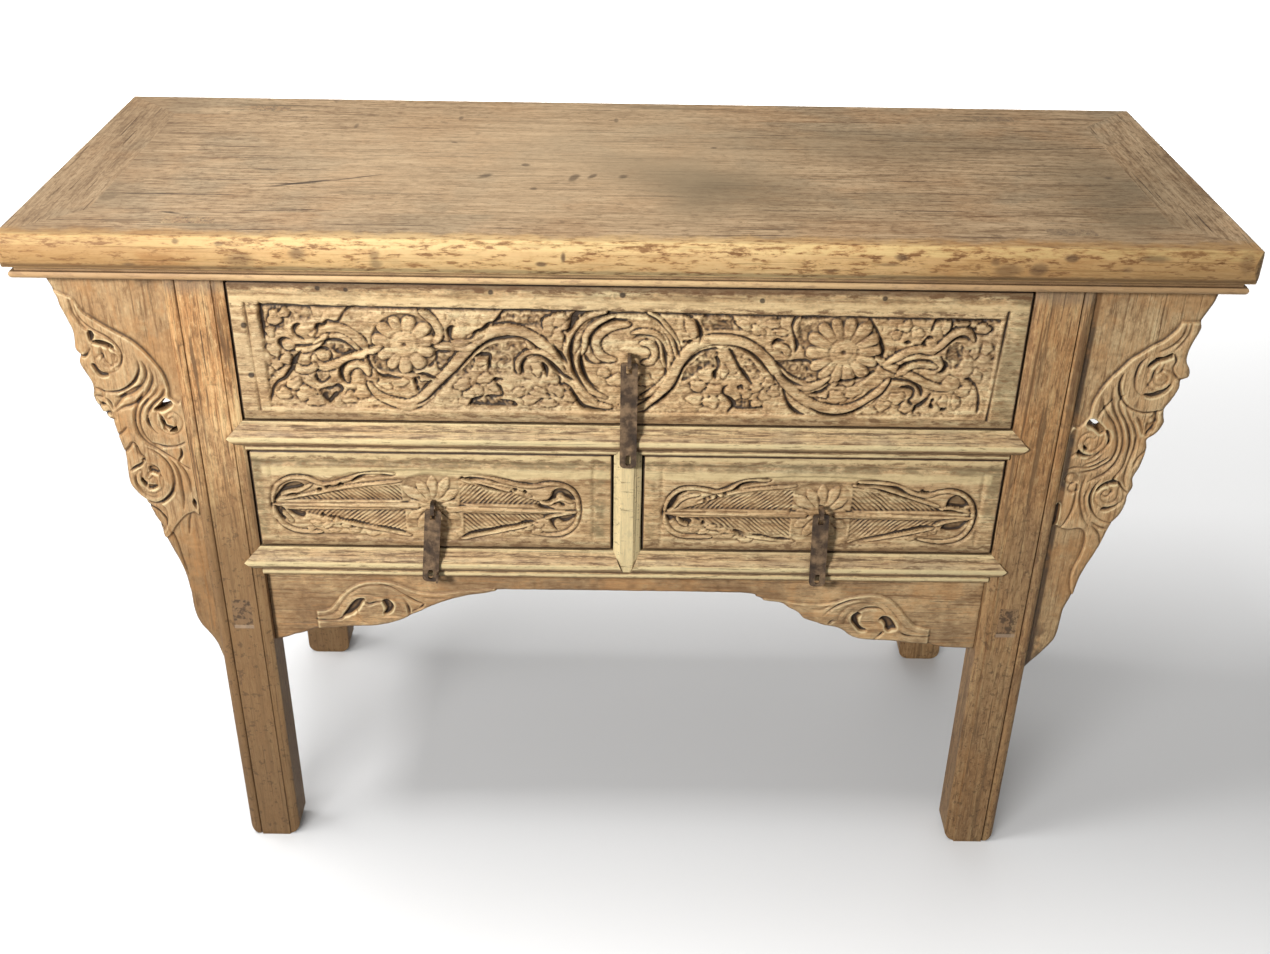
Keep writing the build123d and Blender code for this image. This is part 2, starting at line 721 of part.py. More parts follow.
def staple(x, z):
    """Split pin of flat iron: a round loop in front, two prongs through the drawer front, clinched inside."""
    y = strap_middle_y
    half_t = loop_thickness / 2
    flare = 3.0
    bend = 2.5
    reach = loop_radius + flare
    flare_y = (reach ** 2 - (prong_spread + flare) ** 2) ** 0.5
    meet_y = loop_radius / reach * flare_y
    meet_z = loop_radius / reach * (prong_spread + flare)
    end = drawer_front_back + half_t
    corner = z + prong_spread + bend
    turn = bend * 0.5 ** 0.5
    half = [
        Line((end, corner + clinch_length), (end, corner)),
        ThreePointArc((end, corner), (end - bend + turn, corner - turn), (end - bend, z + prong_spread)),
        Line((end - bend, z + prong_spread), (y + flare_y, z + prong_spread)),
        RadiusArc((y + flare_y, z + prong_spread), (y + meet_y, z + meet_z), flare),
    ]
    loop = ThreePointArc((y + meet_y, z + meet_z), (y - loop_radius, z), (y + meet_y, z - meet_z))
    other = [mirror(edge, about=Plane.XZ.offset(-z)) for edge in half]
    strip = trace(Curve() + half + [loop] + other, loop_thickness)
    pin = along(strip, x - loop_width / 2, x + loop_width / 2)
    rise = prong_spread + half_t
    hole = block(x - loop_width / 2, x + loop_width / 2, drawer_face - 1, drawer_front_back + 1, z - rise, z + rise)
    rise = prong_spread + bend + 0.5
    relief = block(x - loop_width / 2, x + loop_width / 2, drawer_front_back - 2, drawer_front_back + 1,
                   z - rise, z + rise)
    return pin, hole + relief


def strap(x, z, length, lean, lug):
    """Flat iron bar that hangs on the staple, with a long slot at each end."""
    head = z - loop_radius + loop_thickness / 2 + strap_play + slot_land
    slot_z = head - slot_land - slot_height / 2
    low_slot_z = head - length + low_slot_land + slot_height * 0.65
    plate = Pos(0, head - length / 2) * RectangleRounded(strap_width, length, strap_end_radius)
    plate = plate + Pos(0, head - length / 4) * RectangleRounded(strap_width, length / 2, 3.0)
    plate = plate - Pos(0, slot_z) * RectangleRounded(slot_width, slot_height, slot_corner)
    plate = plate - Pos(0, low_slot_z) * Rotation(0, 0, 90) * SlotOverall(slot_height * 1.3, slot_width)
    y0 = strap_middle_y - strap_thickness / 2
    body = across(plate, y0, y0 + strap_thickness)
    if lug:
        corner = head - length + lug_height / 2 + 1.0
        body = body + block(strap_width / 2 - 2.5, strap_width / 2, y0 - 4.0, y0, corner - lug_height / 2,
                            corner + lug_height / 2)
    pivot = Pos(0, 0, z - loop_radius)
    body = pivot * Rotation(0, lean, 0) * pivot.inverse() * body
    return Pos(x, 0, 0) * body


def drawer(word, x0, x1, z0, z1, field_cut, relief, loop_z, strap_length, lean, lug=False):
    """Five boards joined by dovetails and grooves, with its staple and strap."""
    floor = z0 - drawer_gap + running_gap
    side_top = z1 - side_head_gap
    front = rounded_front(x0, x1, z0, z1) - field_cut
    if relief is not None:
        front = front + relief
    board_z = floor + bottom_rise
    left_x = x0 + side_setin
    right_x = x1 - side_setin
    sides = {}
    for name, (a, b) in {"left": (left_x, left_x + side_thickness),
                         "right": (right_x - side_thickness, right_x)}.items():
        side = block(a, b, drawer_front_back, drawer_end, floor, side_top)
        pitch = (side_top - floor) / dovetail_count
        for k in range(dovetail_count):
            side = side + dovetail(a, b, floor + pitch * (k + 0.5), pitch * 0.62)
        sides[name] = side
    bottom = block(left_x + side_thickness - housing_depth, right_x - side_thickness + housing_depth,
                   drawer_front_back - housing_depth, drawer_end - 4, board_z, board_z + bottom_thickness)
    back = block(left_x + side_thickness - housing_depth, right_x - side_thickness + housing_depth,
                 drawer_end - 8 - back_thickness, drawer_end - 8, board_z + bottom_thickness, side_top - 4)
    loop, hole = staple((x0 + x1) / 2, loop_z)
    front = front - sides["left"] - sides["right"] - bottom - hole
    keep(word + "_front", front)
    for name, side in sides.items():
        keep("%s_side_%s" % (word, name), side - bottom - back)
    keep(word + "_back", back)
    keep(word + "_bottom", bottom)
    keep(word + "_staple", loop)
    keep(word + "_pull", strap((x0 + x1) / 2, loop_z, strap_length, lean, lug))


def top_front_forms(x0, x1, z0, z1):
    """Sunken field of the upper front, scored lines at its ends, and the main carved forms in the field."""
    fx0, fx1 = x0 + top_field_side, x1 - top_field_side
    fz0, fz1 = z0 + top_field_foot, z1 - top_field_head
    half, rise = (fx1 - fx0) / 2, fz1 - fz0
    cut = block(fx0, fx1, drawer_face - 1, drawer_face + field_depth, fz0, fz1)
    for x in (x0 + end_line, x1 - end_line):
        cut = cut + block(x - line_width / 2, x + line_width / 2, drawer_face - 1, drawer_face + line_depth,
                          fz0, z1 - 0.75 * top_field_head)
    ground = drawer_face + field_depth
    roundel = Pos(0, fz0 + rise * 0.57) * Circle(rise * 0.42)
    relief = across(roundel, ground - roundel_relief, ground)
    for side in (-1, 1):
        relief = relief + across(flower_outline(side * half * 0.60, fz0 + rise * 0.665, rise * 0.28),
                                 ground - roundel_relief, ground)
        relief = relief + across(vine_outline(side, half, fz0, rise), ground - vine_relief, ground)
    field = block(fx0, fx1, drawer_face, ground, fz0, fz1)
    return cut, relief & field


def flower_outline(x, z, reach, petals=10):
    """A round flower: a ring of petals about a disc."""
    petal = reach * sin(radians(180 / petals)) * 0.9
    centre = reach - petal
    shape = Pos(x, z) * RegularPolygon(centre, petals)
    for k in range(petals):
        a = radians(360 / petals * k)
        shape = shape + Pos(x + centre * cos(a), z + centre * sin(a)) * Circle(petal)
    return shape


def vine_outline(side, half, foot, rise):
    """The stem that waves from the flower down and up again to the roundel."""
    def at(u, v):
        return side * half * u, foot + rise * v

    line = Curve() + [
        ThreePointArc(at(0.74, 0.45), at(0.69, 0.27), at(0.60, 0.22)),
        ThreePointArc(at(0.60, 0.22), at(0.50, 0.30), at(0.44, 0.50)),
        ThreePointArc(at(0.44, 0.50), at(0.36, 0.72), at(0.27, 0.74)),
        ThreePointArc(at(0.27, 0.74), at(0.19, 0.62), at(0.13, 0.40)),
    ]
    return trace(line, rise * 0.07)


def low_front_forms(x0, x1, z0, z1):
    """Sunken cartouche of a lower front and the long pointed leaf in it."""
    mid = (x0 + x1) / 2
    middle_z = low_loop_height - 3.0 * loop_lift
    half, rise = (x1 - x0) * 0.414, (z1 - z0) * 0.357

    def at(u, v):
        return mid + half * u, middle_z + rise * v

    edges = []
    for a, b in ((-1, 1), (1, -1)):
        edges.append(ThreePointArc(at(a, 0), at(a * 0.85, b * 0.65), at(a * 0.56, b * 0.74)))
        edges.append(ThreePointArc(at(a * 0.56, b * 0.74), at(0, b), at(-a * 0.56, b * 0.74)))
        edges.append(ThreePointArc(at(-a * 0.56, b * 0.74), at(-a * 0.85, b * 0.65), at(-a, 0)))
    ground = drawer_face + low_field_depth
    cut = across(outline(*edges), drawer_face - 1, ground)
    leaf = points(at(-0.95, 0), at(-0.15, 0.67), at(0.15, 0.67), at(0.95, 0), at(0.15, -0.67), at(-0.15, -0.67))
    relief = across(leaf, ground - leaf_relief, ground)
    return cut, relief


def build_drawers():
    x = leg_inner - drawer_gap
    z0 = mid_rail_top + drawer_gap
    z1 = top_underside - top_drawer_head_gap
    cut, relief = top_front_forms(-x, x, z0, z1)
    drawer("drawer_top", -x, x, z0, z1, cut, relief, top_loop_height, top_strap_length, 0.0)
    z0 = low_rail_top + drawer_gap
    z1 = mid_rail_bottom - low_drawer_head_gap
    inner = muntin_half + drawer_gap
    cut, relief = low_front_forms(-x, -inner, z0, z1)
    drawer("drawer_left", -x, -inner, z0, z1, cut, relief, low_loop_height, low_strap_length, left_strap_lean, True)
    cut, relief = low_front_forms(inner, x, z0, z1)
    drawer("drawer_right", inner, x, z0, z1, cut, relief, low_loop_height, low_strap_length, right_strap_lean)


# ---------------------------------------------------------------- build and write
build_top()
build_frame()
build_wings()
build_runners()
build_drawers()

for name, shape in pieces.items():
    export_step(shape, "parts/%s.step" % name)
print(len(pieces), "pieces")
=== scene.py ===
"""Chinese altar table: carved and weathered wood, rusted strap pulls, pale studio.

Metres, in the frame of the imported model: X along the table, the front faces -Y, Z up from the floor.
Carved pieces are drawn in millimetres on the X-Z plane and cut as relief on a fine grid.
"""
import json
import math

import bmesh
import bpy
import numpy as np
from mathutils import Matrix, Vector


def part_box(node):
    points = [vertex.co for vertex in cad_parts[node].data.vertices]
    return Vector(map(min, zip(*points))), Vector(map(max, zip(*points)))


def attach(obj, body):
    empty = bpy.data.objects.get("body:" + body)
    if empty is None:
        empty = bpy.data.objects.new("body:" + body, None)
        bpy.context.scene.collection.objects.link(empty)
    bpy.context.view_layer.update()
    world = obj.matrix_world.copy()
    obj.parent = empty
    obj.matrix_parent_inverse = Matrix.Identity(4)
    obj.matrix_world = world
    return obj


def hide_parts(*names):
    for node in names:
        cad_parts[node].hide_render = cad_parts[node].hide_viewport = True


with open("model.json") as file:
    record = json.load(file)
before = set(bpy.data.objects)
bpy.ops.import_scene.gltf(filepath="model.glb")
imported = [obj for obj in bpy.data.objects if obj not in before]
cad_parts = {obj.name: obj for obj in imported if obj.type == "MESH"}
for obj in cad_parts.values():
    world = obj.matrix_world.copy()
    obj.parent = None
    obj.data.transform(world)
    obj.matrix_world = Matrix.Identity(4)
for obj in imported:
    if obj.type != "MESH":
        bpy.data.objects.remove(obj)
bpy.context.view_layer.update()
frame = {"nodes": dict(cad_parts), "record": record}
nodes = frame["nodes"]
MM = 0.001


bodies = frame["record"]["behaviour"]["bodies"]
body_of_node = {node: body for body, names in bodies.items() for node in names}


# ------------------------------------------------------------------ shader expressions
def rgba(tone):
    """Linear colour with full alpha, from the 0-255 red, green and blue of a colour chart."""
    linear = [((v / 255 + 0.055) / 1.055) ** 2.4 if v > 10 else v / 255 / 12.92 for v in tone]
    return (*linear, 1.0)


class Socket:
    """An output socket that works in arithmetic: each operator adds one Math node."""

    def __init__(self, tree, out):
        self.tree = tree
        self.out = out

    def math(self, operation, first, second=None, clamp=False):
        values = {0: first} if second is None else {0: first, 1: second}
        return self.tree.node("ShaderNodeMath", {"operation": operation, "use_clamp": clamp}, values)

    def __add__(self, other):
        return self.math("ADD", self, other)

    __radd__ = __add__

    def __sub__(self, other):
        return self.math("SUBTRACT", self, other)

    def __rsub__(self, other):
        return self.math("SUBTRACT", other, self)

    def __mul__(self, other):
        return self.math("MULTIPLY", self, other)

    __rmul__ = __mul__

    def clamp(self):
        return self.math("ADD", self, 0.0, clamp=True)

    def sine(self):
        return self.math("SINE", self)

    def size(self):
        return self.math("ABSOLUTE", self)

    def at_least(self, other):
        return self.math("MAXIMUM", self, other)

    def step(self, low, high):
        """0 below low, 1 above high, smooth between; low may be the larger one."""
        settings = {"interpolation_type": "SMOOTHSTEP", "clamp": True}
        values = {"Value": self, "From Min": low, "From Max": high}
        return self.tree.node("ShaderNodeMapRange", settings, values)


class Tree:
    """The nodes of a material or a world, added one expression at a time."""

    def __init__(self, owner, shader="Principled BSDF"):
        owner.use_nodes = True
        self.owner = owner
        self.nodes = owner.node_tree.nodes
        self.links = owner.node_tree.links
        self.shader = self.nodes[shader]

    def node(self, kind, settings=None, values=None, output=0):
        """Add one node: its settings first, then the values or links of its sockets."""
        made = self.nodes.new(kind)
        for key, setting in (settings or {}).items():
            if key == "stops":
                self.set_stops(made.color_ramp, setting)
            else:
                setattr(made, key, setting)
        for key, value in (values or {}).items():
            self.put(made.inputs[key], value)
        return Socket(self, made.outputs[output])

    def put(self, socket, value):
        """Link another node to a socket, or set the socket's own value."""
        if isinstance(value, Socket):
            self.links.new(value.out, socket)
        else:
            socket.default_value = value

    def set_stops(self, ramp, stops):
        while len(ramp.elements) > 1:
            ramp.elements.remove(ramp.elements[-1])
        for index, (position, tone) in enumerate(stops):
            element = ramp.elements[0] if index == 0 else ramp.elements.new(position)
            element.position = position
            element.color = rgba(tone)

    def part(self, vector, axis):
        """The x, y or z of a vector."""
        return self.node("ShaderNodeSeparateXYZ", None, {0: vector}, output="xyz".index(axis))

    def noise(self, where, scale, detail=4.0, roughness=0.55, distortion=0.0):
        values = {"Vector": where, "Scale": scale, "Detail": detail, "Roughness": roughness,
                  "Distortion": distortion}
        return self.node("ShaderNodeTexNoise", None, values)

    def stretch(self, where, scale):
        return self.node("ShaderNodeVectorMath", {"operation": "MULTIPLY"}, {0: where, 1: scale})

    def shift(self, where, amount):
        return self.node("ShaderNodeVectorMath", {"operation": "ADD"}, {0: where, 1: amount})

    def paint(self, face, share, tone):
        """Lay a tone of the colour chart over the colour so far, where share is above 0."""
        settings = {"data_type": "RGBA", "clamp_factor": True}
        return self.node("ShaderNodeMix", settings, {0: share, 6: face, 7: rgba(tone)}, output=2)

    def finish(self, face, roughness, height, depth):
        """Wire colour, roughness and surface height (depth in metres) to the shader."""
        values = {"Strength": 0.6, "Distance": depth, "Height": height}
        self.put(self.shader.inputs["Base Color"], face)
        self.put(self.shader.inputs["Roughness"], roughness)
        self.put(self.shader.inputs["Normal"], self.node("ShaderNodeBump", None, values))
        return self.owner


# ------------------------------------------------------------------ wood and iron
# How much a pattern is squeezed across the grain, for each axis that the grain can follow
GRAIN = {"x": (1.0, 15.0, 15.0), "y": (15.0, 1.0, 15.0), "z": (15.0, 15.0, 1.0)}
ACROSS = {"x": (1.0, 3.0, 3.0), "y": (3.0, 1.0, 3.0), "z": (3.0, 3.0, 1.0)}
FLECKS = {"x": (1.0, 2.2, 2.2), "y": (2.2, 1.0, 2.2), "z": (2.2, 2.2, 1.0)}

# Lower and upper side rails, from bottom to top, in metres: their tenons run through the legs
SIDE_RAILS = ((0.343, 0.391), (0.7635, 0.8135))


def wood(name, axis, tones, grey=0.3, stain=0.4, warm=0.3, line=0.6, shade_and_grime=0.8, wear=0.6,
         marks=None, covered=None):
    """Old elm: figure, streaks and fibres along one axis, weathering, worn edges and painted shade in
    hollows.

    The shares set grey dust, dark stains, warm patches, dark lines of the grain,
    painted shade with some dirt in hollows, and wear with some painted highlight on ridges.
    `marks` adds a piece's own marks. `covered` is 1 over tenon ends, which don't wear like edges.
    """
    pale, light, middle, dark = tones
    tree = Tree(bpy.data.materials.new(name))
    place = tree.node("ShaderNodeTexCoord", output="Object")
    own = tree.node("ShaderNodeObjectInfo", output="Random")
    offset = tree.node("ShaderNodeCombineXYZ", None, {0: own * 7.3, 1: own * 3.1, 2: own * 5.7})
    moved = tree.shift(place, offset)
    along = tree.stretch(moved, GRAIN[axis])
    narrow = tree.stretch(along, ACROSS[axis])
    figure = tree.noise(along, 4.5, 3.0, 0.5, 0.6)
    streaks = tree.noise(along, 15.0, 5.0, 0.72, 0.2)
    fibres = tree.noise(narrow, 22.0, 3.0, 0.6)
    rings = (figure * 58.0 + streaks * 6.0).sine()
    cracks = tree.noise(narrow, 6.5, 1.5, 0.5)
    patch = tree.noise(moved, 6.0, 4.0, 0.6)
    glow = tree.noise(tree.shift(moved, (3.1, 7.7, 1.3)), 8.0, 3.0, 0.55)
    spots = tree.noise(moved, 50.0, 4.0, 0.62)
    dirt = tree.noise(tree.stretch(moved, FLECKS[axis]), 90.0, 5.0, 0.75)

    tone = figure * 0.28 + streaks * 0.57 + fibres * 0.15 + rings * 0.014
    stops = [(0.385, dark), (0.45, middle), (0.52, light), (0.60, pale)]
    face = tree.node("ShaderNodeValToRGB", {"stops": stops}, {"Fac": tone})
    brown = (98, 66, 38)
    face = tree.paint(face, glow.step(0.47, 0.62) * warm, (204, 142, 82))
    face = tree.paint(face, patch.step(0.50, 0.64) * (0.4 + streaks) * grey, (164, 150, 124))
    face = tree.paint(face, patch.step(0.46, 0.34) * stain * 0.5, (128, 92, 58))
    face = tree.paint(face, rings.step(0.62, 0.98) * line * 0.35, brown)
    face = tree.paint(face, fibres.step(0.45, 0.33) * line * 0.6, brown)
    face = tree.paint(face, cracks.step(0.345, 0.29) * line, (74, 50, 30))
    face = tree.paint(face, spots.step(0.63, 0.71) * stain, (78, 54, 34))
    face = tree.paint(face, dirt.step(0.51, 0.64) * 0.55, (112, 80, 48))
    face = tree.paint(face, dirt.step(0.47, 0.36) * 0.45, pale)
    if marks:
        face = marks(tree, place, face, streaks, spots)

    hollow = tree.node("ShaderNodeAttribute", {"attribute_name": "hollow"}, output="Fac")
    inner = tree.node("ShaderNodeAmbientOcclusion", {"samples": 4, "inside": True}, {"Distance": 4.0 * MM},
                      output="AO")
    near = tree.node("ShaderNodeAmbientOcclusion", {"samples": 4}, {"Distance": 11.0 * MM}, output="AO")
    worn = (1.0 - inner).step(0.35, 0.85) * (0.1 + streaks)
    if covered:
        lower, upper = (covered(tree, place, *rail) for rail in SIDE_RAILS)
        worn = worn * (1.0 - lower - upper)
    # Pale on worn edges and on ridges of the relief: wear, with some painted highlight on the ridges.
    ridge = (hollow * -1.0).step(0.04, 0.50).at_least(worn) * wear
    face = tree.paint(face, ridge.clamp(), pale)
    # Painted shade with some dirt: darker in hollows of the relief and where the AO node finds corners,
    # gaps and recesses.
    shade = hollow.at_least((1.0 - near) * 0.85 + (spots - 0.5) * 0.3)
    face = tree.paint(face, shade.step(0.10, 0.55) * shade_and_grime * 0.75, (112, 82, 50))
    face = tree.paint(face, shade.step(0.42, 0.90) * shade_and_grime, (40, 25, 14))
    height = fibres * 0.45 + streaks * 0.7 + spots * 0.35 - cracks.step(0.345, 0.29)
    return tree.finish(face, 0.52 + streaks * 0.2, height, 1.0 * MM)


def blotch(tree, place, rough, middle, reach, turn=0.0, edge=0.35, upright=False):
    """A soft-edged mark, 1 at its middle and 0 beyond its reach, lying on the top or upright on the front.

    Middle and reach are in millimetres: x and y on the top, x and z on the front.
    """
    x, other = (v * MM for v in middle)
    moved = tree.shift(place, (-x, 0.0, -other) if upright else (-x, -other, 0.0))
    if turn:
        values = {"Vector": moved, "Angle": turn}
        moved = tree.node("ShaderNodeVectorRotate", {"rotation_type": "Z_AXIS"}, values)
    wide, high = (1.0 / (v * MM) for v in reach)
    flat = tree.stretch(moved, (wide, 0.0, high) if upright else (wide, high, 0.0))
    away = tree.node("ShaderNodeVectorMath", {"operation": "LENGTH"}, {0: flat}, output="Value")
    return (away + (rough - 0.5) * 2.2).step(1.0 + edge, 1.0 - edge)


def top_marks(tree, place, face, streaks, spots):
    """Stains, knocks and cracks on the top, then its handled front edge."""
    rough = tree.noise(place, 26.0, 5.0, 0.65)
    coarse = tree.noise(place, 7.0, 4.0, 0.6)
    shade = (112, 96, 70)
    for middle, reach, turn, share in (
            ((85, -60), (125, 55), 0.5, 0.85), ((70, -105), (30, 55), 0.0, 0.5),
            ((300, 84), (190, 50), 0.0, 0.4), ((560, -70), (80, 120), 0.3, 0.5),
            ((560, -158), (60, 18), 0.0, 0.35), ((280, -100), (60, 16), 0.0, 0.25)):
        soft = blotch(tree, place, coarse, middle, reach, turn, 0.9)
        face = tree.paint(face, soft * (0.45 + streaks) * share, shade)
    for middle, reach, share in (
            ((-460, 192), (50, 5), 0.6), ((-462, 212), (48, 3), 0.7), ((460, 207), (42, 3), 0.5),
            ((460, 190), (42, 3), 0.5), ((-465, -212), (34, 4), 0.45), ((60, 226), (60, 8), 0.4),
            ((-575, -130), (10, 14), 0.4), ((-300, -108), (50, 8), 0.3)):
        face = tree.paint(face, blotch(tree, place, rough, middle, reach) * share, shade)
    pale = blotch(tree, place, coarse, (-110, 10), (250, 170), 0.0, 0.8)
    face = tree.paint(face, pale * 0.4, (232, 202, 162))
    crack = (58, 42, 28)
    for middle, reach, turn, share in (
            ((-366, -78), (32, 3.0), -0.35, 0.85), ((-318, -62), (30, 1.6), -0.42, 0.7),
            ((-508, -121), (62, 1.8), 0.0, 0.8), ((-493, -178), (14, 3), 0.25, 0.8),
            ((-420, -36), (14, 3), 0.0, 0.6), ((-168, -48), (9, 5), -0.8, 0.6),
            ((-66, -50), (4, 10), 0.3, 0.6), ((-45, -44), (3, 7), 0.5, 0.6), ((-10, -45), (5, 7), 0.4, 0.6),
            ((-218, 168), (3, 8), 0.0, 0.5), ((-216, 72), (4, 3), 0.0, 0.6),
            ((-20, 168), (2.5, 8), 0.0, 0.5), ((-345, 130), (2.5, 9), 0.0, 0.45),
            ((-124, -8), (4, 4), 0.0, 0.6), ((-110, -88), (4, 4), 0.0, 0.6), ((100, 65), (4, 4), 0.0, 0.6),
            ((555, -25), (5, 5), 0.0, 0.5)):
        face = tree.paint(face, blotch(tree, place, rough, middle, reach, turn, 0.5) * share, crack)
    face = tree.paint(face, blotch(tree, place, rough, (-87, -241), (8, 6), 0.0, 0.2) * 0.7, (112, 92, 66))
    return edge_marks(tree, place, face, rough, streaks)


def edge_marks(tree, place, face, rough, streaks):
    """The front edge of the top: honey yellow from hands, pale along its corner, dark along its groove.

    The pale corner is wear with a painted highlight.

    Heights in metres: the lip reaches up to 0.828, the groove to 0.834 and the flat to the corner at 0.855.
    """
    across = tree.part(place, "y")
    height = tree.part(place, "z")
    right = tree.part(place, "x")
    face_side = across.step(-0.238, -0.243)
    face = tree.paint(face, right.step(-0.50, -0.60) * 0.35, (136, 108, 76))
    handled = (across + (rough - 0.5) * 0.05).step(-0.221, -0.240)
    face = tree.paint(face, handled * 0.62, (236, 188, 120))
    speckle = tree.noise(tree.stretch(place, (1.0, 4.0, 4.0)), 46.0, 5.0, 0.72)
    broad = tree.noise(tree.stretch(place, (1.0, 2.5, 2.5)), 11.0, 4.0, 0.6)
    face = tree.paint(face, broad.step(0.50, 0.66) * handled * 0.45, (186, 128, 70))
    # Pale along the rounded upper corner: wear with a painted highlight.
    corner = (height + (rough - 0.5) * 0.004).step(0.8530, 0.8565) * face_side
    face = tree.paint(face, corner * speckle.step(0.56, 0.44) * 0.5, (255, 228, 158))
    row = height.step(0.8475, 0.8515) * height.step(0.8585, 0.8555) * across.step(-0.243, -0.246)
    face = tree.paint(face, speckle.step(0.52, 0.62) * row * (0.6 + right * 0.6).clamp(), (118, 80, 44))
    face = tree.paint(face, speckle.step(0.53, 0.62) * handled * 0.75, (128, 86, 48))
    face = tree.paint(face, streaks.step(0.46, 0.36) * handled * 0.5, (150, 104, 58))
    groove = (height + (speckle - 0.5) * 0.006).step(0.8350, 0.8310) * across.step(-0.236, -0.240)
    face = tree.paint(face, groove * height.step(0.8275, 0.8295) * 0.8, (84, 66, 40))
    face = tree.paint(face, height.step(0.8285, 0.8270) * 0.5, (222, 190, 152))
    face = tree.paint(face, right.step(0.15, 0.62) * handled * 0.35, (142, 104, 62))
    face = tree.paint(face, right.step(-0.30, -0.55) * handled * 0.36, (150, 108, 64))
    bright = right.step(-0.55, -0.2) * right.step(0.4, 0.1) * handled
    face = tree.paint(face, bright * speckle.step(0.62, 0.44) * 0.38, (255, 226, 168))
    for middle, reach, share in (
            ((-405, 841), (17, 8), 0.5), ((-345, 848), (9, 6), 0.6), ((-470, 860), (4, 2.5), 0.6),
            ((-425, 858), (5, 2), 0.5), ((-265, 838), (9, 6), 0.55), ((-266, 848), (6, 7), 0.5),
            ((-93, 841), (5, 2.5), 0.8), ((-70, 849), (2.6, 6), 0.85), ((391, 841), (14, 7), 0.5),
            ((378, 850), (5, 4), 0.5), ((424, 842), (8, 7), 0.6), ((457, 855), (6, 3), 0.7),
            ((540, 856), (14, 3.5), 0.6), ((516, 844), (6, 4), 0.4), ((640, 850), (8, 12), 0.4),
            ((280, 854), (6, 3), 0.7), ((265, 846), (15, 2), 0.5), ((-520, 834), (8, 2), 0.6),
            ((210, 838), (7, 2), 0.5)):
        mark = blotch(tree, place, rough, middle, reach, 0.0, 0.5, True) * face_side
        face = tree.paint(face, mark * share, (92, 68, 48))
    return face


def window(tree, place, rough, low, high, soft=2.0):
    """A rectangle on the front, with soft uneven sides: corners in millimetres as x, z."""
    x = tree.part(place, "x") + (rough - 0.5) * 0.008
    z = tree.part(place, "z") + (rough - 0.5) * 0.008
    s = soft * MM
    sides = x.step(low[0] * MM - s, low[0] * MM + s) * x.step(high[0] * MM + s, high[0] * MM - s)
    return sides * z.step(low[1] * MM - s, low[1] * MM + s) * z.step(high[1] * MM + s, high[1] * MM - s)


def tenon_end(tree, place, low, high):
    """1 over the end of a side rail's tenon on the face of a leg, between two heights in metres."""
    along = tree.part(place, "x").size()
    height = tree.part(place, "z")
    beside = along.step(0.4550, 0.4565) * along.step(0.4800, 0.4785)
    return beside * height.step(low - MM, low) * height.step(high + MM, high)


def leg_marks(tree, place, face, streaks, spots):
    """Legs: dull and dark below the lower rail, grey at the top, with the lower tenons' pale-edged ends.
    The dark below the rail, near the floor and over the right leg is painted shade.
    """
    height = tree.part(place, "z")
    right = tree.part(place, "x")
    rough = tree.noise(place, 14.0, 5.0, 0.65)
    fine = tree.noise(place, 120.0, 4.0, 0.7)
    low = (height + (rough - 0.5) * 0.22).step(0.66, 0.44)
    long = tree.noise(tree.stretch(place, (34.0, 34.0, 1.6)), 4.0, 3.0, 0.6)
    face = tree.paint(face, long.step(0.46, 0.36) * 0.75, (92, 66, 42))
    # Painted shade: duller and darker below the lower rail, darker near the floor and over the right leg,
    # with denser dark dashes there.
    face = tree.paint(face, low * (0.62 - right * 0.5), (138, 106, 70))
    face = tree.paint(face, height.step(0.30, 0.05) * 0.25, (112, 88, 62))
    face = tree.paint(face, right.step(0.0, 0.2) * 0.25, (150, 118, 80))
    short = tree.noise(tree.stretch(place, (8.0, 8.0, 1.0)), 44.0, 4.0, 0.7)
    face = tree.paint(face, short.step(0.55, 0.64) * (right * 0.5 + 0.45), (98, 68, 42))
    speck = fine.step(0.56, 0.64) * (low * 0.5 + height.step(0.78, 0.81) * 0.6)
    face = tree.paint(face, speck, (66, 48, 34))
    face = tree.paint(face, (height + (rough - 0.5) * 0.03).step(0.785, 0.80) * 0.5, (150, 132, 110))
    tenon_low, tenon_high = 0.346, 0.388
    end = tenon_end(tree, place, tenon_low, tenon_high)
    face = tree.paint(face, end * 0.5, (142, 114, 86))
    face = tree.paint(face, end * fine.step(0.48, 0.56) * 0.8, (70, 52, 36))
    return tree.paint(face, tenon_end(tree, place, tenon_low, tenon_low + 4.0 * MM) * 0.6, (200, 174, 148))


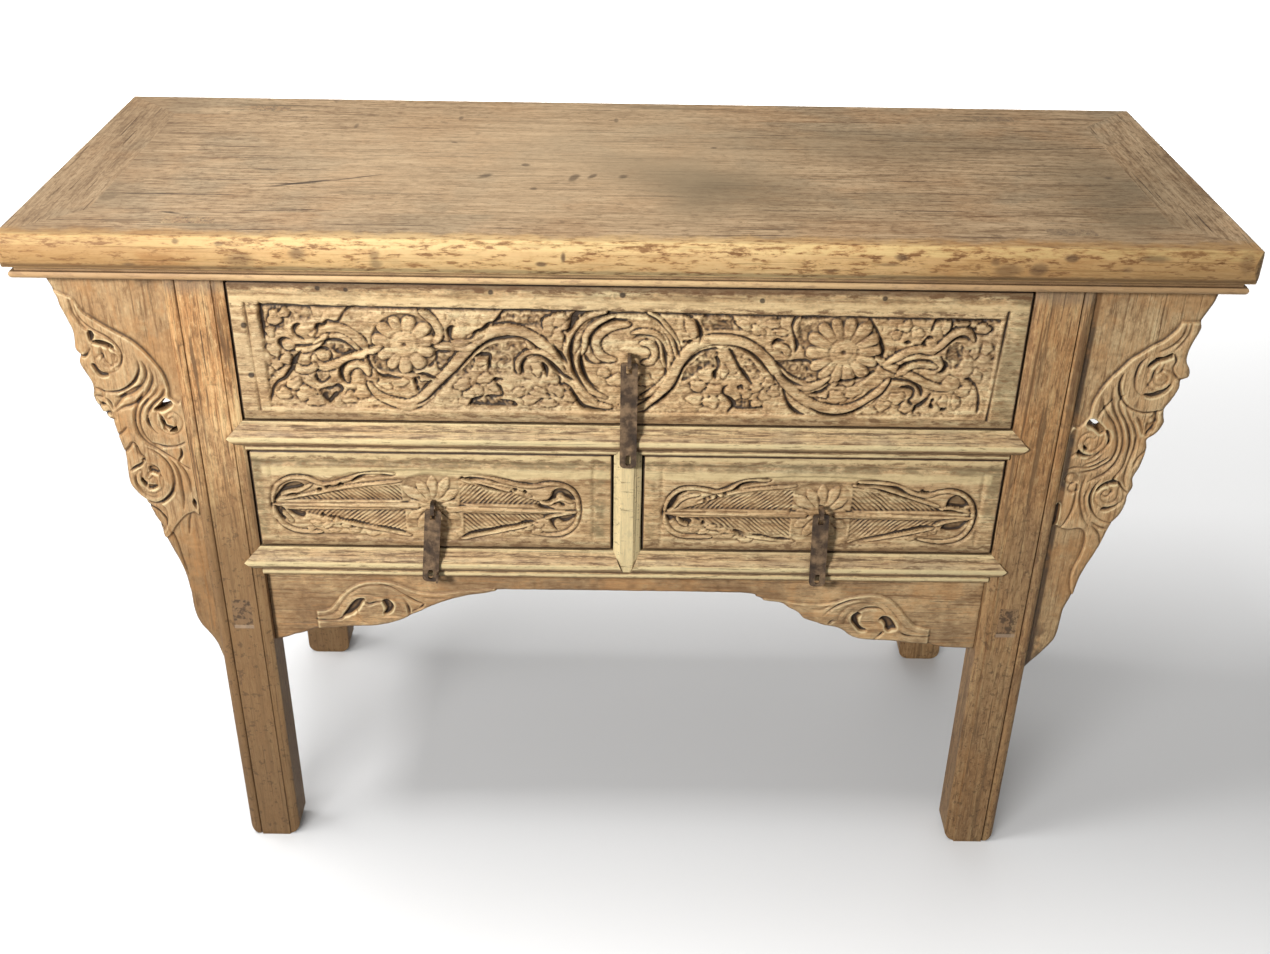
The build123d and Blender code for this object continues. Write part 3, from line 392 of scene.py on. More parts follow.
def carved_marks(tree, place, face, streaks, spots):
    """Wings and apron: darker low down, at the left and in the middle.
    A painted shadow lies in the gap beside the right leg.
    """
    height = tree.part(place, "z")
    right = tree.part(place, "x")
    rough = tree.noise(place, 13.0, 5.0, 0.65)
    left = right.step(0.3, -0.4)
    low = (height + (rough - 0.5) * 0.10).step(0.56, 0.38)
    inner = right.size().step(0.49, 0.40)
    centre = right.size().step(0.26, 0.14)
    face = tree.paint(face, 0.14, (244, 210, 164))
    dull = left * 0.28 + low * (0.22 + left * 0.3) - inner * 0.75
    face = tree.paint(face, dull.clamp(), (142, 106, 68))
    face = tree.paint(face, centre * 0.5, (132, 100, 68))
    face = tree.paint(face, inner * rough.step(0.42, 0.60) * 0.6, (132, 100, 68))
    gap = (right + (rough - 0.5) * 0.002).step(0.5085, 0.5050) * right.step(0.4990, 0.4995)
    face = tree.paint(face, streaks.step(0.52, 0.62) * 0.45, (196, 136, 80))
    face = tree.paint(face, streaks.step(0.46, 0.37) * 0.5, (120, 84, 50))
    for middle, reach in (((514, 322), (18, 28)), ((508, 345), (10, 16))):
        corner = blotch(tree, place, rough, middle, reach, 0.0, 0.6, True)
        face = tree.paint(face, corner * spots.step(0.40, 0.56) * 0.7, (92, 78, 62))
    # Painted shadow in the gap between the right wing and its leg.
    face = tree.paint(face, gap * 0.9, (40, 28, 20))
    blotches = (height + (rough - 0.5) * 0.20).step(0.79, 0.83) + rough.step(0.58, 0.66) * 0.6
    face = tree.paint(face, (blotches * spots.step(0.42, 0.60) * 0.6).clamp(), (98, 74, 52))
    return tree.paint(face, rough.step(0.50, 0.40) * 0.4, (204, 150, 94))


def rail_marks(tree, place, face, streaks, spots):
    """Rails: grey dust on what looks up, dark dashes, a pale painted highlight on what looks sideways, and
    brown painted shade on what looks down.
    """
    normal = tree.node("ShaderNodeNewGeometry", output="Normal")
    up = tree.part(normal, "z")
    fine = tree.noise(place, 70.0, 4.0, 0.7)
    face = tree.paint(face, up.step(0.15, 0.5) * (0.1 + fine) * 0.6, (176, 154, 124))
    dashes = tree.noise(tree.stretch(place, (1.0, 9.0, 9.0)), 34.0, 6.0, 0.75)
    arris = up.step(0.22, 0.34) * up.step(0.62, 0.46)
    # Painted highlight: pale on faces that look sideways.
    face = tree.paint(face, up.step(0.30, 0.15) * up.step(-0.35, -0.15) * 0.65, (255, 238, 186))
    face = tree.paint(face, dashes.step(0.56, 0.63) * 0.6, (112, 80, 46))
    face = tree.paint(face, arris * dashes.step(0.46, 0.56) * 0.7, (92, 66, 42))
    # Painted shade: brown on faces that look down.
    return tree.paint(face, up.step(-0.15, -0.6) * 0.7, (96, 68, 42))


def front_marks(tree, place, face, streaks, spots):
    """Drawer fronts: dull green-grey films, pale and dark bands on the borders, nails in the upper one.
    The dark band along the top of the upper front is a painted shadow under the lip of the top.
    """
    rough = tree.noise(place, 30.0, 4.0, 0.65)
    fine = tree.noise(tree.stretch(place, (1.0, 3.0, 3.0)), 60.0, 4.0, 0.7)
    film = (128, 118, 86)
    for low, high, share in (
            ((-434, 482), (-422, 590), 0.7), ((-42, 484), (-26, 588), 0.8), ((22, 480), (33, 588), 0.6),
            ((417, 482), (432, 588), 0.6), ((-430, 575), (430, 586), 0.75), ((-434, 466), (434, 476), 0.4),
            ((408, 640), (434, 800), 0.5), ((-434, 640), (434, 646), 0.5), ((-434, 789), (434, 797), 0.4)):
        patchy = window(tree, place, rough, low, high, 4.0) * (fine * 0.5 + rough * 0.5).step(0.40, 0.56)
        face = tree.paint(face, patchy * share, film)
    face = tree.paint(face, fine.step(0.54, 0.64) * 0.55, (138, 98, 60))
    # The dark band from z 797 to 806 is a painted shadow under the lip of the top.
    for low, high, share, tone in (
            ((-432, 776), (432, 788), 0.5, (252, 226, 174)), ((-432, 797), (432, 806), 0.8, (84, 58, 38)),
            ((-421, 563), (421, 574), 0.75, (255, 234, 180)),
            ((-432, 587), (432, 593), 0.75, (255, 232, 178)),
            ((-432, 461), (432, 470), 0.5, (96, 70, 46)), ((-432, 631), (432, 640), 0.3, (104, 76, 50))):
        band = window(tree, place, rough, low, high, 2.0) * (1.35 - fine)
        face = tree.paint(face, (band * share).clamp(), tone)
    for low, high in (((-432, 773), (432, 780)), ((-432, 794), (432, 801)), ((-432, 640), (432, 646)),
                      ((-432, 585), (432, 589)), ((-432, 466), (432, 478))):
        speckled = window(tree, place, rough, low, high, 2.0) * fine.step(0.49, 0.58)
        face = tree.paint(face, speckled * 0.7, (108, 76, 48))
    height = tree.part(place, "z")
    low = height.step(0.60, 0.59)
    face = tree.paint(face, low * (0.04 + 0.2 * rough), (150, 122, 88))
    uneven = height + (rough - 0.5) * 0.02
    foot = uneven.step(0.486, 0.468) + uneven.step(0.650, 0.640) * height.step(0.60, 0.62)
    face = tree.paint(face, (foot * 0.36).clamp(), (126, 98, 66))
    for middle in ((-150, 795), (-8, 794), (142, 790), (274, 794), (-305, 796), (-418, 692), (-419, 752),
                   (-335, 797)):
        nail = blotch(tree, place, rough, middle, (3.0, 3.0), 0.0, 0.3, True)
        face = tree.paint(face, nail * 0.85, (44, 34, 28))
    return face


def iron():
    """Hand-forged iron, rusted dark brown."""
    tree = Tree(bpy.data.materials.new("rusted_iron"))
    place = tree.node("ShaderNodeTexCoord", output="Object")
    scale = tree.noise(place, 90.0, 5.0, 0.6)
    patch = tree.noise(place, 38.0, 4.0, 0.6)
    stops = [(0.36, (40, 30, 24)), (0.48, (84, 66, 50)), (0.60, (146, 120, 92))]
    face = tree.node("ShaderNodeValToRGB", {"stops": stops}, {"Fac": scale * 0.6 + patch * 0.4})
    tree.shader.inputs["Metallic"].default_value = 0.3
    return tree.finish(face, 0.45 + scale * 0.3, scale, 0.8 * MM)


# Pale, light, middle and dark tone of each wood
HONEY = ((250, 216, 160), (230, 184, 130), (198, 150, 102), (132, 94, 60))
RAIL = ((255, 230, 176), (240, 206, 154), (206, 170, 124), (138, 106, 74))
TAN = ((226, 196, 156), (208, 176, 137), (184, 153, 116), (138, 110, 80))
CARVED = ((255, 232, 182), (232, 198, 150), (208, 172, 126), (158, 124, 86))
BARE = ((206, 176, 132), (190, 158, 114), (160, 126, 86), (112, 84, 54))


WOODS = {
    "top": dict(tones=TAN, grey=0.45, warm=0.15, line=0.8, wear=0.4, marks=top_marks),
    "case": dict(tones=HONEY, line=0.75),
    "rail": dict(tones=RAIL, grey=0.5, warm=0.15, line=0.7, marks=rail_marks),
    "carved": dict(tones=CARVED, wear=0.8, shade_and_grime=0.95, marks=carved_marks),
    "drawer": dict(tones=BARE, grey=0.2, stain=0.2, shade_and_grime=0.3, wear=0.3),
    "front": dict(tones=CARVED, warm=0.1, line=0.25, wear=0.9, shade_and_grime=0.95, marks=front_marks),
    "leg": dict(tones=HONEY, stain=0.5, line=0.85, warm=0.4, marks=leg_marks, covered=tenon_end),
}

# Start of a node's name, its wood and the axis of its grain; what isn't listed is case wood along X
FINISHES = (
    ("top_batten", "case", "y"),
    ("top_end", "top", "y"),
    ("top_", "top", "x"),
    ("leg_", "leg", "z"),
    ("wing_", "carved", "z"),
    ("apron_", "carved", "x"),
    ("muntin_", "rail", "z"),
    ("rail_front", "rail", "x"),
    ("rail_side", "case", "y"),
    ("side_panel", "case", "z"),
    ("runner_", "drawer", "y"),
)

woods = {}
rusted_iron = iron()


def wood_of(kind, axis):
    """Material of one kind of wood with its grain along an axis, made when it is first asked for."""
    if (kind, axis) not in woods:
        woods[kind, axis] = wood("%s_wood_%s" % (kind, axis), axis, **WOODS[kind])
    return woods[kind, axis]


def finish_of(node):
    """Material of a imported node, from its name."""
    if node.endswith(("_pull", "_staple")):
        return rusted_iron
    if node.startswith("drawer_"):
        if node.endswith("_front"):
            return wood_of("front", "x")
        return wood_of("drawer", "y" if "_side_" in node else "x")
    for start, kind, axis in FINISHES:
        if node.startswith(start):
            return wood_of(kind, axis)
    return wood_of("case", "x")


def dress(obj, material):
    """Give a piece one material all over."""
    obj.data.materials.clear()
    obj.data.materials.append(material)


def soften(obj, width):
    """Worn edges: a small bevel, with the flat faces kept flat in shading."""
    bevel = obj.modifiers.new("worn_edges", "BEVEL")
    bevel.width = width
    bevel.segments = 2
    bevel.limit_method = "ANGLE"
    bevel.angle_limit = math.radians(35)
    bevel.harden_normals = True


for name, obj in nodes.items():
    dress(obj, finish_of(name))
    soften(obj, 0.5 * MM if name.endswith(("_pull", "_staple")) else 0.9 * MM)


# ------------------------------------------------------------------ carving
def smooth(value):
    """0 below 0 and 1 above 1, with an S-shaped rise between them."""
    value = np.clip(value, 0.0, 1.0)
    return value * value * (3.0 - 2.0 * value)


def line_through(flat, closed=False, spacing=1.5):
    """Smooth line through points given as x, z, x, z and so on, in millimetres."""
    points = np.array(flat, float).reshape(-1, 2)
    if closed:
        padded = np.vstack([points[-1], points, points[0], points[1]])
    else:
        padded = np.vstack([2 * points[0] - points[1], points, 2 * points[-1] - points[-2]])
    runs = []
    for a, b, c, d in zip(padded, padded[1:], padded[2:], padded[3:]):
        count = max(2, int(np.hypot(*(c - b)) / spacing))
        t = np.linspace(0.0, 1.0, count, endpoint=False)[:, None]
        cubic = (3 * b - a - 3 * c + d) * t ** 3
        runs.append(0.5 * (2 * b + (c - a) * t + (2 * a - 5 * b + 4 * c - d) * t * t + cubic))
    runs.append(runs[0][:1] if closed else points[-1:])
    return np.vstack(runs)


def straight_line(flat):
    """Closed line with straight sides through points given in the same way."""
    return np.array(flat + flat[:2], float).reshape(-1, 2)


class Relief:
    """A carved face: a height in millimetres, outwards, at each point of an X-Z grid."""

    def __init__(self, x, z):
        self.shape = x.shape
        self.x = x.ravel()
        self.z = z.ravel()
        self.height = np.zeros(x.size)

    def nearest(self, line, reach):
        """Points of the grid within reach of a line: index, distance, side and place along it."""
        best = np.full(self.x.size, np.inf)
        place = np.zeros(self.x.size)
        side = np.zeros(self.x.size)
        far = np.concatenate([[0.0], np.cumsum(np.hypot(*np.diff(line, axis=0).T))])
        far = far / far[-1]
        for first in range(0, len(line) - 1, 8):
            part = line[first:first + 9]
            low = part.min(axis=0) - reach
            high = part.max(axis=0) + reach
            inside = (self.x > low[0]) & (self.x < high[0]) & (self.z > low[1]) & (self.z < high[1])
            here = np.nonzero(inside)[0]
            if not here.size:
                continue
            run = np.diff(part, axis=0)
            from_x = self.x[here][:, None] - part[:-1, 0]
            from_z = self.z[here][:, None] - part[:-1, 1]
            length = np.maximum((run ** 2).sum(axis=1), 1e-9)
            t = np.clip((from_x * run[:, 0] + from_z * run[:, 1]) / length, 0.0, 1.0)
            gap = np.hypot(from_x - t * run[:, 0], from_z - t * run[:, 1])
            k = gap.argmin(axis=1)
            row = np.arange(here.size)
            closer = gap[row, k] < best[here]
            row, k, found = row[closer], k[closer], here[closer]
            best[found] = gap[row, k]
            place[found] = far[first + k] + t[row, k] * (far[first + k + 1] - far[first + k])
            side[found] = np.sign(run[k, 0] * from_z[row, k] - run[k, 1] * from_x[row, k])
        hit = np.nonzero(best < reach)[0]
        return hit, best[hit], side[hit], place[hit]

    def taper(self, place, ends, power=0.5):
        """Share of its full width that a line has at each place: it thins out over its two end shares."""
        start, stop = ends
        share = np.ones_like(place)
        if start:
            share = np.minimum(share, place / start)
        if stop:
            share = np.minimum(share, (1.0 - place) / stop)
        return 0.25 + 0.75 * np.clip(share, 0.0, 1.0) ** power

    def cut(self, flat, width, depth, ends=(0.25, 0.25)):
        """A steep-sided cut along a line, wider in some places than in others."""
        hit, gap, side, place = self.nearest(line_through(flat), width)
        share = self.taper(place, ends) * (0.82 + 0.26 * np.sin(7.0 * place + flat[0]))
        self.height[hit] -= depth * share * smooth(1.3 - 1.3 * gap / (0.5 * width * share + 0.6))

    def crease(self, flat, width, depth, ends=(0.25, 0.25)):
        """A pointed groove with rounded shoulders: the wood between two of them looks like a ribbon."""
        hit, gap, side, place = self.nearest(line_through(flat), width)
        share = self.taper(place, ends)
        near = np.clip(1.0 - gap / (0.5 * width * share + 0.4), 0.0, 1.0)
        self.height[hit] -= depth * share * near ** 1.7

    def ledge(self, flat, depth, fall, side, ends=(0.2, 0.2)):
        """A form that overlaps its neighbour: a drop on one side of a line, which rises away from it."""
        hit, gap, sides, place = self.nearest(line_through(flat), fall)
        share = self.taper(place, ends)
        low = (sides == side) * (1.0 - gap / fall) ** 1.4 * smooth(gap / 1.0 + 0.2)
        rolled = (sides != side) * 0.3 * np.clip(1.0 - gap / 2.5, 0.0, 1.0) ** 2
        self.height[hit] -= depth * share * (low + rolled)

    def ribbon(self, flat, width, level=0.0, moat=3.0, ends=(0.15, 0.15), power=0.5):
        """A rounded ribbon that stands above what it crosses, with the wood beside it cut down."""
        hit, gap, side, place = self.nearest(line_through(flat), 0.5 * width + 4.0)
        half = 0.5 * width * self.taper(place, ends, power)
        beside = np.clip(1.0 - (gap - half) / 3.6, 0.0, 1.0)
        top = level - 1.7 * np.clip(gap / half, 0.0, 1.0) ** 2.4
        low = self.height[hit] - moat * beside ** 1.5 * smooth((gap - half) / 0.8 + 0.6)
        self.height[hit] = np.where(gap < half, np.maximum(self.height[hit], top), low)

    def lump(self, x, z, wide, high, turn, level=-1.0, moat=1.9):
        """A rounded boss longer one way than the other, such as a petal or a lobe of a leaf."""
        c, s = math.cos(math.radians(turn)), math.sin(math.radians(turn))
        dx, dz = self.x - x, self.z - z
        u, v = (dx * c + dz * s) / wide, (dz * c - dx * s) / high
        around_it = np.arctan2(v, u)
        away = np.hypot(u, v) + 0.13 * np.sin(3 * around_it + 0.7 * x) + 0.09 * np.sin(5 * around_it + z)
        around = (away >= 1.0) & (away < 1.5)
        self.height[around] -= (moat * (1.5 - away) * 2.0)[around]
        here = away < 1.0
        vein = 0.9 * np.exp(-(v / 0.2) ** 2) * np.clip(1.2 - np.abs(u), 0.0, 1.0)
        self.height[here] = np.maximum(self.height[here], (level - 0.9 * away ** 4 - vein)[here])

    def inside(self, line):
        """How far each point lies inside a closed line, negative outside, exact up to a reach."""
        reach = 12.0
        hit, gap, side, place = self.nearest(line, reach)
        odd = np.zeros(self.x.size, bool)
        for (ax, az), (bx, bz) in zip(line[:-1], line[1:]):
            if az == bz:
                continue
            crosses = (az > self.z) != (bz > self.z)
            odd ^= crosses & (self.x < (bx - ax) * (self.z - az) / (bz - az) + ax)
        depth = np.full(self.x.size, reach)
        depth[hit] = gap
        return np.where(odd, depth, -depth)

    def area(self, flat, level, wall=2.0, smooth_line=True):
        """Bring a closed area to one level, with a sloping wall around it."""
        line = line_through(flat, closed=True) if smooth_line else straight_line(flat)
        share = smooth(self.inside(line) / wall + 0.5)
        self.height += (level - self.height) * share

    def knob(self, x, z, radius, level, drop=2.5):
        """A rounded boss that stands free of the ground around it."""
        gap = np.hypot(self.x - x, self.z - z) / radius
        top = level - drop * gap ** 2.5
        here = gap < 1.0
        self.height[here] = np.maximum(self.height[here], top[here])

    def petal(self, x, z, long, wide, turn, level, power):
        """A lobe with a shallow fold along its middle: pointed with a power near 1, blunter above it."""
        c, s = math.cos(turn), math.sin(turn)
        u = ((self.x - x) * c + (self.z - z) * s) / long
        v = ((self.z - z) * c - (self.x - x) * s) / wide
        away = (np.abs(u) ** power + np.abs(v) ** power) ** (1 / power)
        here = away < 1.0
        top = level - 1.7 * away ** 3 - 0.7 * np.exp(-(v / 0.28) ** 2) * np.clip(u + 0.9, 0.0, 1.0)
        self.height[here] = np.maximum(self.height[here], top[here])

    def flower(self, x, z, disc, petal, count, turn):
        """Round-tipped petals around a domed centre with a pit in it, on ground cut down around them."""
        ground = -5.0
        radius = np.hypot(self.x - x, self.z - z)
        self.height += (ground - self.height) * smooth((petal + 3.0 - radius) / 3.0)
        angle = np.arctan2(self.z - z, self.x - x)
        turned = (angle * count / (2.0 * math.pi) - turn + 0.10 * np.sin(3.0 * angle)) % 1.0
        aside = 2.0 * np.minimum(turned, 1.0 - turned)
        half_width = math.pi * radius / count
        reach = np.clip((radius - disc) / (petal - disc), 0.0, 1.0)
        tip = petal * (1.0 - 0.24 * aside ** 2.5) * (1.0 + 0.04 * np.sin(3.0 * angle))
        groove = np.exp(-((1.0 - aside) * half_width / (0.7 + 0.9 * reach)) ** 2)
        top = -0.2 - 2.0 * aside ** 3 * (0.4 + 0.6 * reach) - (0.7 + 1.8 * reach) * groove
        fold = np.exp(-(aside * half_width / 1.2) ** 2)
        top -= 0.5 * fold + 2.0 * np.clip((radius - tip + 4.0) / 4.0, 0.0, 1.0) ** 2
        here = radius < tip
        self.height[here] = np.maximum(self.height[here], top[here])
        self.height -= 1.4 * np.exp(-((radius - disc - 1.0) / 1.6) ** 2)
        centre = radius <= disc
        dome = 0.0 - 1.6 * (radius / disc) ** 4 - 0.9 * np.exp(-((radius - 0.66 * disc) / 1.2) ** 2)
        self.height[centre] = (dome - 3.0 * smooth(1.6 - radius / 2.4))[centre]

    def tilt(self, flat, middle, near, far, reach):
        """Make a closed area slope from a line at height `middle` out to its edge."""
        share = smooth(self.inside(straight_line(flat)) / 1.2 + 0.3)
        level = near + (far - near) * np.clip(np.abs(self.z - middle) / reach, 0.0, 1.0)
        self.height += (level - self.height) * share

    def hatch(self, flat, spacing, turn, depth):
        """Parallel chisel cuts inside a closed area."""
        share = smooth(self.inside(straight_line(flat)) / 1.6)
        a = math.radians(turn)
        wander = 0.20 * np.sin(0.05 * self.x + 0.11 * self.z) + 0.07 * np.sin(0.23 * self.x - 0.13 * self.z)
        phase = ((self.x * math.cos(a) + self.z * math.sin(a)) / spacing + wander) % 1.0
        uneven = 0.7 + 0.3 * np.sin(0.19 * self.x + 0.11 * self.z)
        self.height -= depth * uneven * share * np.clip(1.0 - np.abs(phase - 0.5) * 2.6, 0.0, 1.0)

    def curls(self, where, spacing, amount, seed):
        """Fine curling lines, as on leaves that are cut over with a small gouge."""
        before = self.height.copy()
        self.height = np.zeros_like(before)
        self.ripple(spacing * 2.6, 1.0, seed)
        phase = self.height * 2.4 + (self.x + 0.6 * self.z) / (spacing * 2.2)
        line = np.clip(1.0 - np.abs(phase % 1.0 - 0.5) * 4.0, 0.0, 1.0)
        self.height = before - amount * line * where

    def ripple(self, spacing, amount, seed, where=1.0):
        """Uneven hand work: smooth random heights on a coarse lattice."""
        low_x, low_z = self.x.min(), self.z.min()
        across = (self.x - low_x) / spacing
        up = (self.z - low_z) / spacing
        lattice = np.random.default_rng(seed).uniform(-1, 1, (int(up.max()) + 2, int(across.max()) + 2))
        i, j = up.astype(int), across.astype(int)
        v, u = smooth(up - i), smooth(across - j)
        near = lattice[i, j] * (1 - u) + lattice[i, j + 1] * u
        above = lattice[i + 1, j] * (1 - u) + lattice[i + 1, j + 1] * u
        self.height += amount * where * (near * (1 - v) + above * v)

    def soften(self):
        """Blur the relief a little, as wear and wax do."""
        grid = self.height.reshape(self.shape)
        for axis in (0, 1):
            padded = np.pad(grid, [(1, 1) if a == axis else (0, 0) for a in (0, 1)], mode="edge")
            before = padded[:-2] if axis == 0 else padded[:, :-2]
            after = padded[2:] if axis == 0 else padded[:, 2:]
            grid = 0.5 * grid + 0.25 * (before + after)
        self.height = grid.ravel()

    def hollow(self, spread, ground):
        """Hollows above 0 and ridges below it, from each point's height against its surroundings."""
        grid = self.height.reshape(self.shape)
        near = averaged(grid, max(1, spread // 3)) - grid
        broad = averaged(grid, spread) - grid
        low = 0.55 * np.clip(near / 0.8, -1.0, 1.0) + 0.45 * np.clip(broad / 2.4, -1.0, 1.0)
        return np.clip(low + 0.75 * np.clip(-grid / ground, 0.0, 1.0) ** 1.2, -1.0, 1.0).ravel()


def averaged(grid, spread):
    """Each cell's average over a square around it."""
    for axis in (0, 1):
        padded = np.pad(grid, [(spread + 1, spread) if a == axis else (0, 0) for a in (0, 1)], mode="edge")
        total = np.cumsum(padded, axis=axis)
        window_size = 2 * spread + 1
        upper = total[window_size:] if axis == 0 else total[:, window_size:]
        lower = total[:-window_size] if axis == 0 else total[:, :-window_size]
        grid = (upper - lower) / window_size
    return grid


def carved_mesh(name, relief, front, back, hollow):
    """Closed mesh in metres from a relief in millimetres: front skin, walls around it and a flat back."""
    rows, columns = relief.shape
    index = np.arange(rows * columns).reshape(rows, columns)
    loop = np.concatenate([index[0, :-1], index[:-1, -1], index[-1, :0:-1], index[:0:-1, 0]])
    x = np.concatenate([relief.x, relief.x[loop]])
    y = np.concatenate([front - relief.height, np.full(loop.size, back)])
    z = np.concatenate([relief.z, relief.z[loop]])
    corners = [index[:-1, :-1], index[:-1, 1:], index[1:, 1:], index[1:, :-1]]
    skin = np.stack(corners, axis=-1).reshape(-1, 4)
    behind = np.arange(loop.size) + relief.x.size
    walls = np.stack([np.roll(loop, -1), loop, behind, np.roll(behind, -1)], axis=-1)
    faces = skin.tolist() + walls.tolist() + [behind[::-1].tolist()]
    mesh = bpy.data.meshes.new(name)
    mesh.from_pydata((np.stack([x, y, z], axis=-1) * MM).tolist(), [], faces)
    attribute = mesh.attributes.new("hollow", "FLOAT", "POINT")
    attribute.data.foreach_set("value", np.concatenate([hollow, np.zeros(loop.size)]).astype(np.float32))
    smooth_faces = np.zeros(len(faces), bool)
    smooth_faces[:len(skin)] = True
    mesh.polygons.foreach_set("use_smooth", smooth_faces)
    mesh.update()
    return mesh


def put_in_place(name, mesh, node, material):
    """Put a carved piece in the place of its node."""
    piece = bpy.data.objects.new(name, mesh)
    bpy.context.scene.collection.objects.link(piece)
    mesh.materials.clear()
    mesh.materials.append(material)
    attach(piece, body_of_node[node])
    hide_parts(node)
    return piece


def box_mm(node):
    """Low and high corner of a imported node, in millimetres."""
    low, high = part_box(node)
    return [v / MM for v in low], [v / MM for v in high]


GRID = 1.0      # distance between the points of a carving, in millimetres


def even(low, high, step=GRID):
    """Evenly spaced values from low to high, about a step apart."""
    return np.linspace(low, high, max(2, int(round((high - low) / step)) + 1))


# ------------------------------------------------------------------ drawer fronts
FIELD = 9.0            # deepest ground of the carving below the face of a drawer front
SKIN = 2.0             # wood of the carved skin behind that ground


def round_corners(x, z, low, high, radius):
    """Draw the corners of a rectangular grid in to quarter circles."""
    for side_x in (-1, 1):
        for side_z in (-1, 1):
            corner_x = (high[0] if side_x > 0 else low[0]) - side_x * radius
            corner_z = (high[1] if side_z > 0 else low[1]) - side_z * radius
            dx = (x - corner_x) * side_x
            dz = (z - corner_z) * side_z
            here = (dx > 0) & (dz > 0)
            scale = np.maximum(dx, dz)[here] / np.maximum(np.hypot(dx, dz)[here], 1e-9)
            x[here] = corner_x + side_x * dx[here] * scale
            z[here] = corner_z + side_z * dz[here] * scale


def front_relief(node, step=GRID):
    """An uncarved drawer front on a grid with rounded corners, and each point's distance from its edge."""
    low, high = box_mm(node)
    x, z = np.meshgrid(even(low[0], high[0], step), even(low[2], high[2], step))
    round_corners(x, z, (low[0], low[2]), (high[0], high[2]), 5.0)
    relief = Relief(x, z)
    edge = np.minimum.reduce([relief.x - low[0], high[0] - relief.x, relief.z - low[2], high[2] - relief.z])
    return relief, edge


def drawer_front(which, relief, edge):
    """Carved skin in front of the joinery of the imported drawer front."""
    node = "drawer_%s_front" % which
    low, high = box_mm(node)
    relief.soften()
    relief.height -= 1.6 * np.clip(1.0 - edge / 3.5, 0.0, 1.0) ** 2
    relief.height = np.clip(relief.height, -FIELD - 0.2, 0.0)
    # The outer 1.5 mm of each front counts as hollow, which gives painted shade along the gap around the
    # drawer.
    hollow = np.maximum(relief.hollow(max(2, int(4.0 / GRID)), FIELD), smooth(1.5 - edge / 1.6))
    skin = carved_mesh(node + "_carving", relief, low[1], low[1] + FIELD + SKIN, hollow)
    core = bmesh.new()
    core.from_mesh(nodes[node].data)
    cut = (low[1] + FIELD + 0.5 * SKIN) * MM
    geometry = core.verts[:] + core.edges[:] + core.faces[:]
    bmesh.ops.bisect_plane(core, geom=geometry, plane_co=(0, cut, 0), plane_no=(0, -1, 0), clear_outer=True)
    rim = [e for e in core.edges if e.is_boundary]
    bmesh.ops.holes_fill(core, edges=rim, sides=0)
    body = bpy.data.meshes.new("core")
    core.to_mesh(body)
    core.free()
    both = bmesh.new()
    both.from_mesh(skin)
    both.from_mesh(body)
    both.to_mesh(skin)
    both.free()
    put_in_place(node + "_carved", skin, node, wood_of("front", "x"))


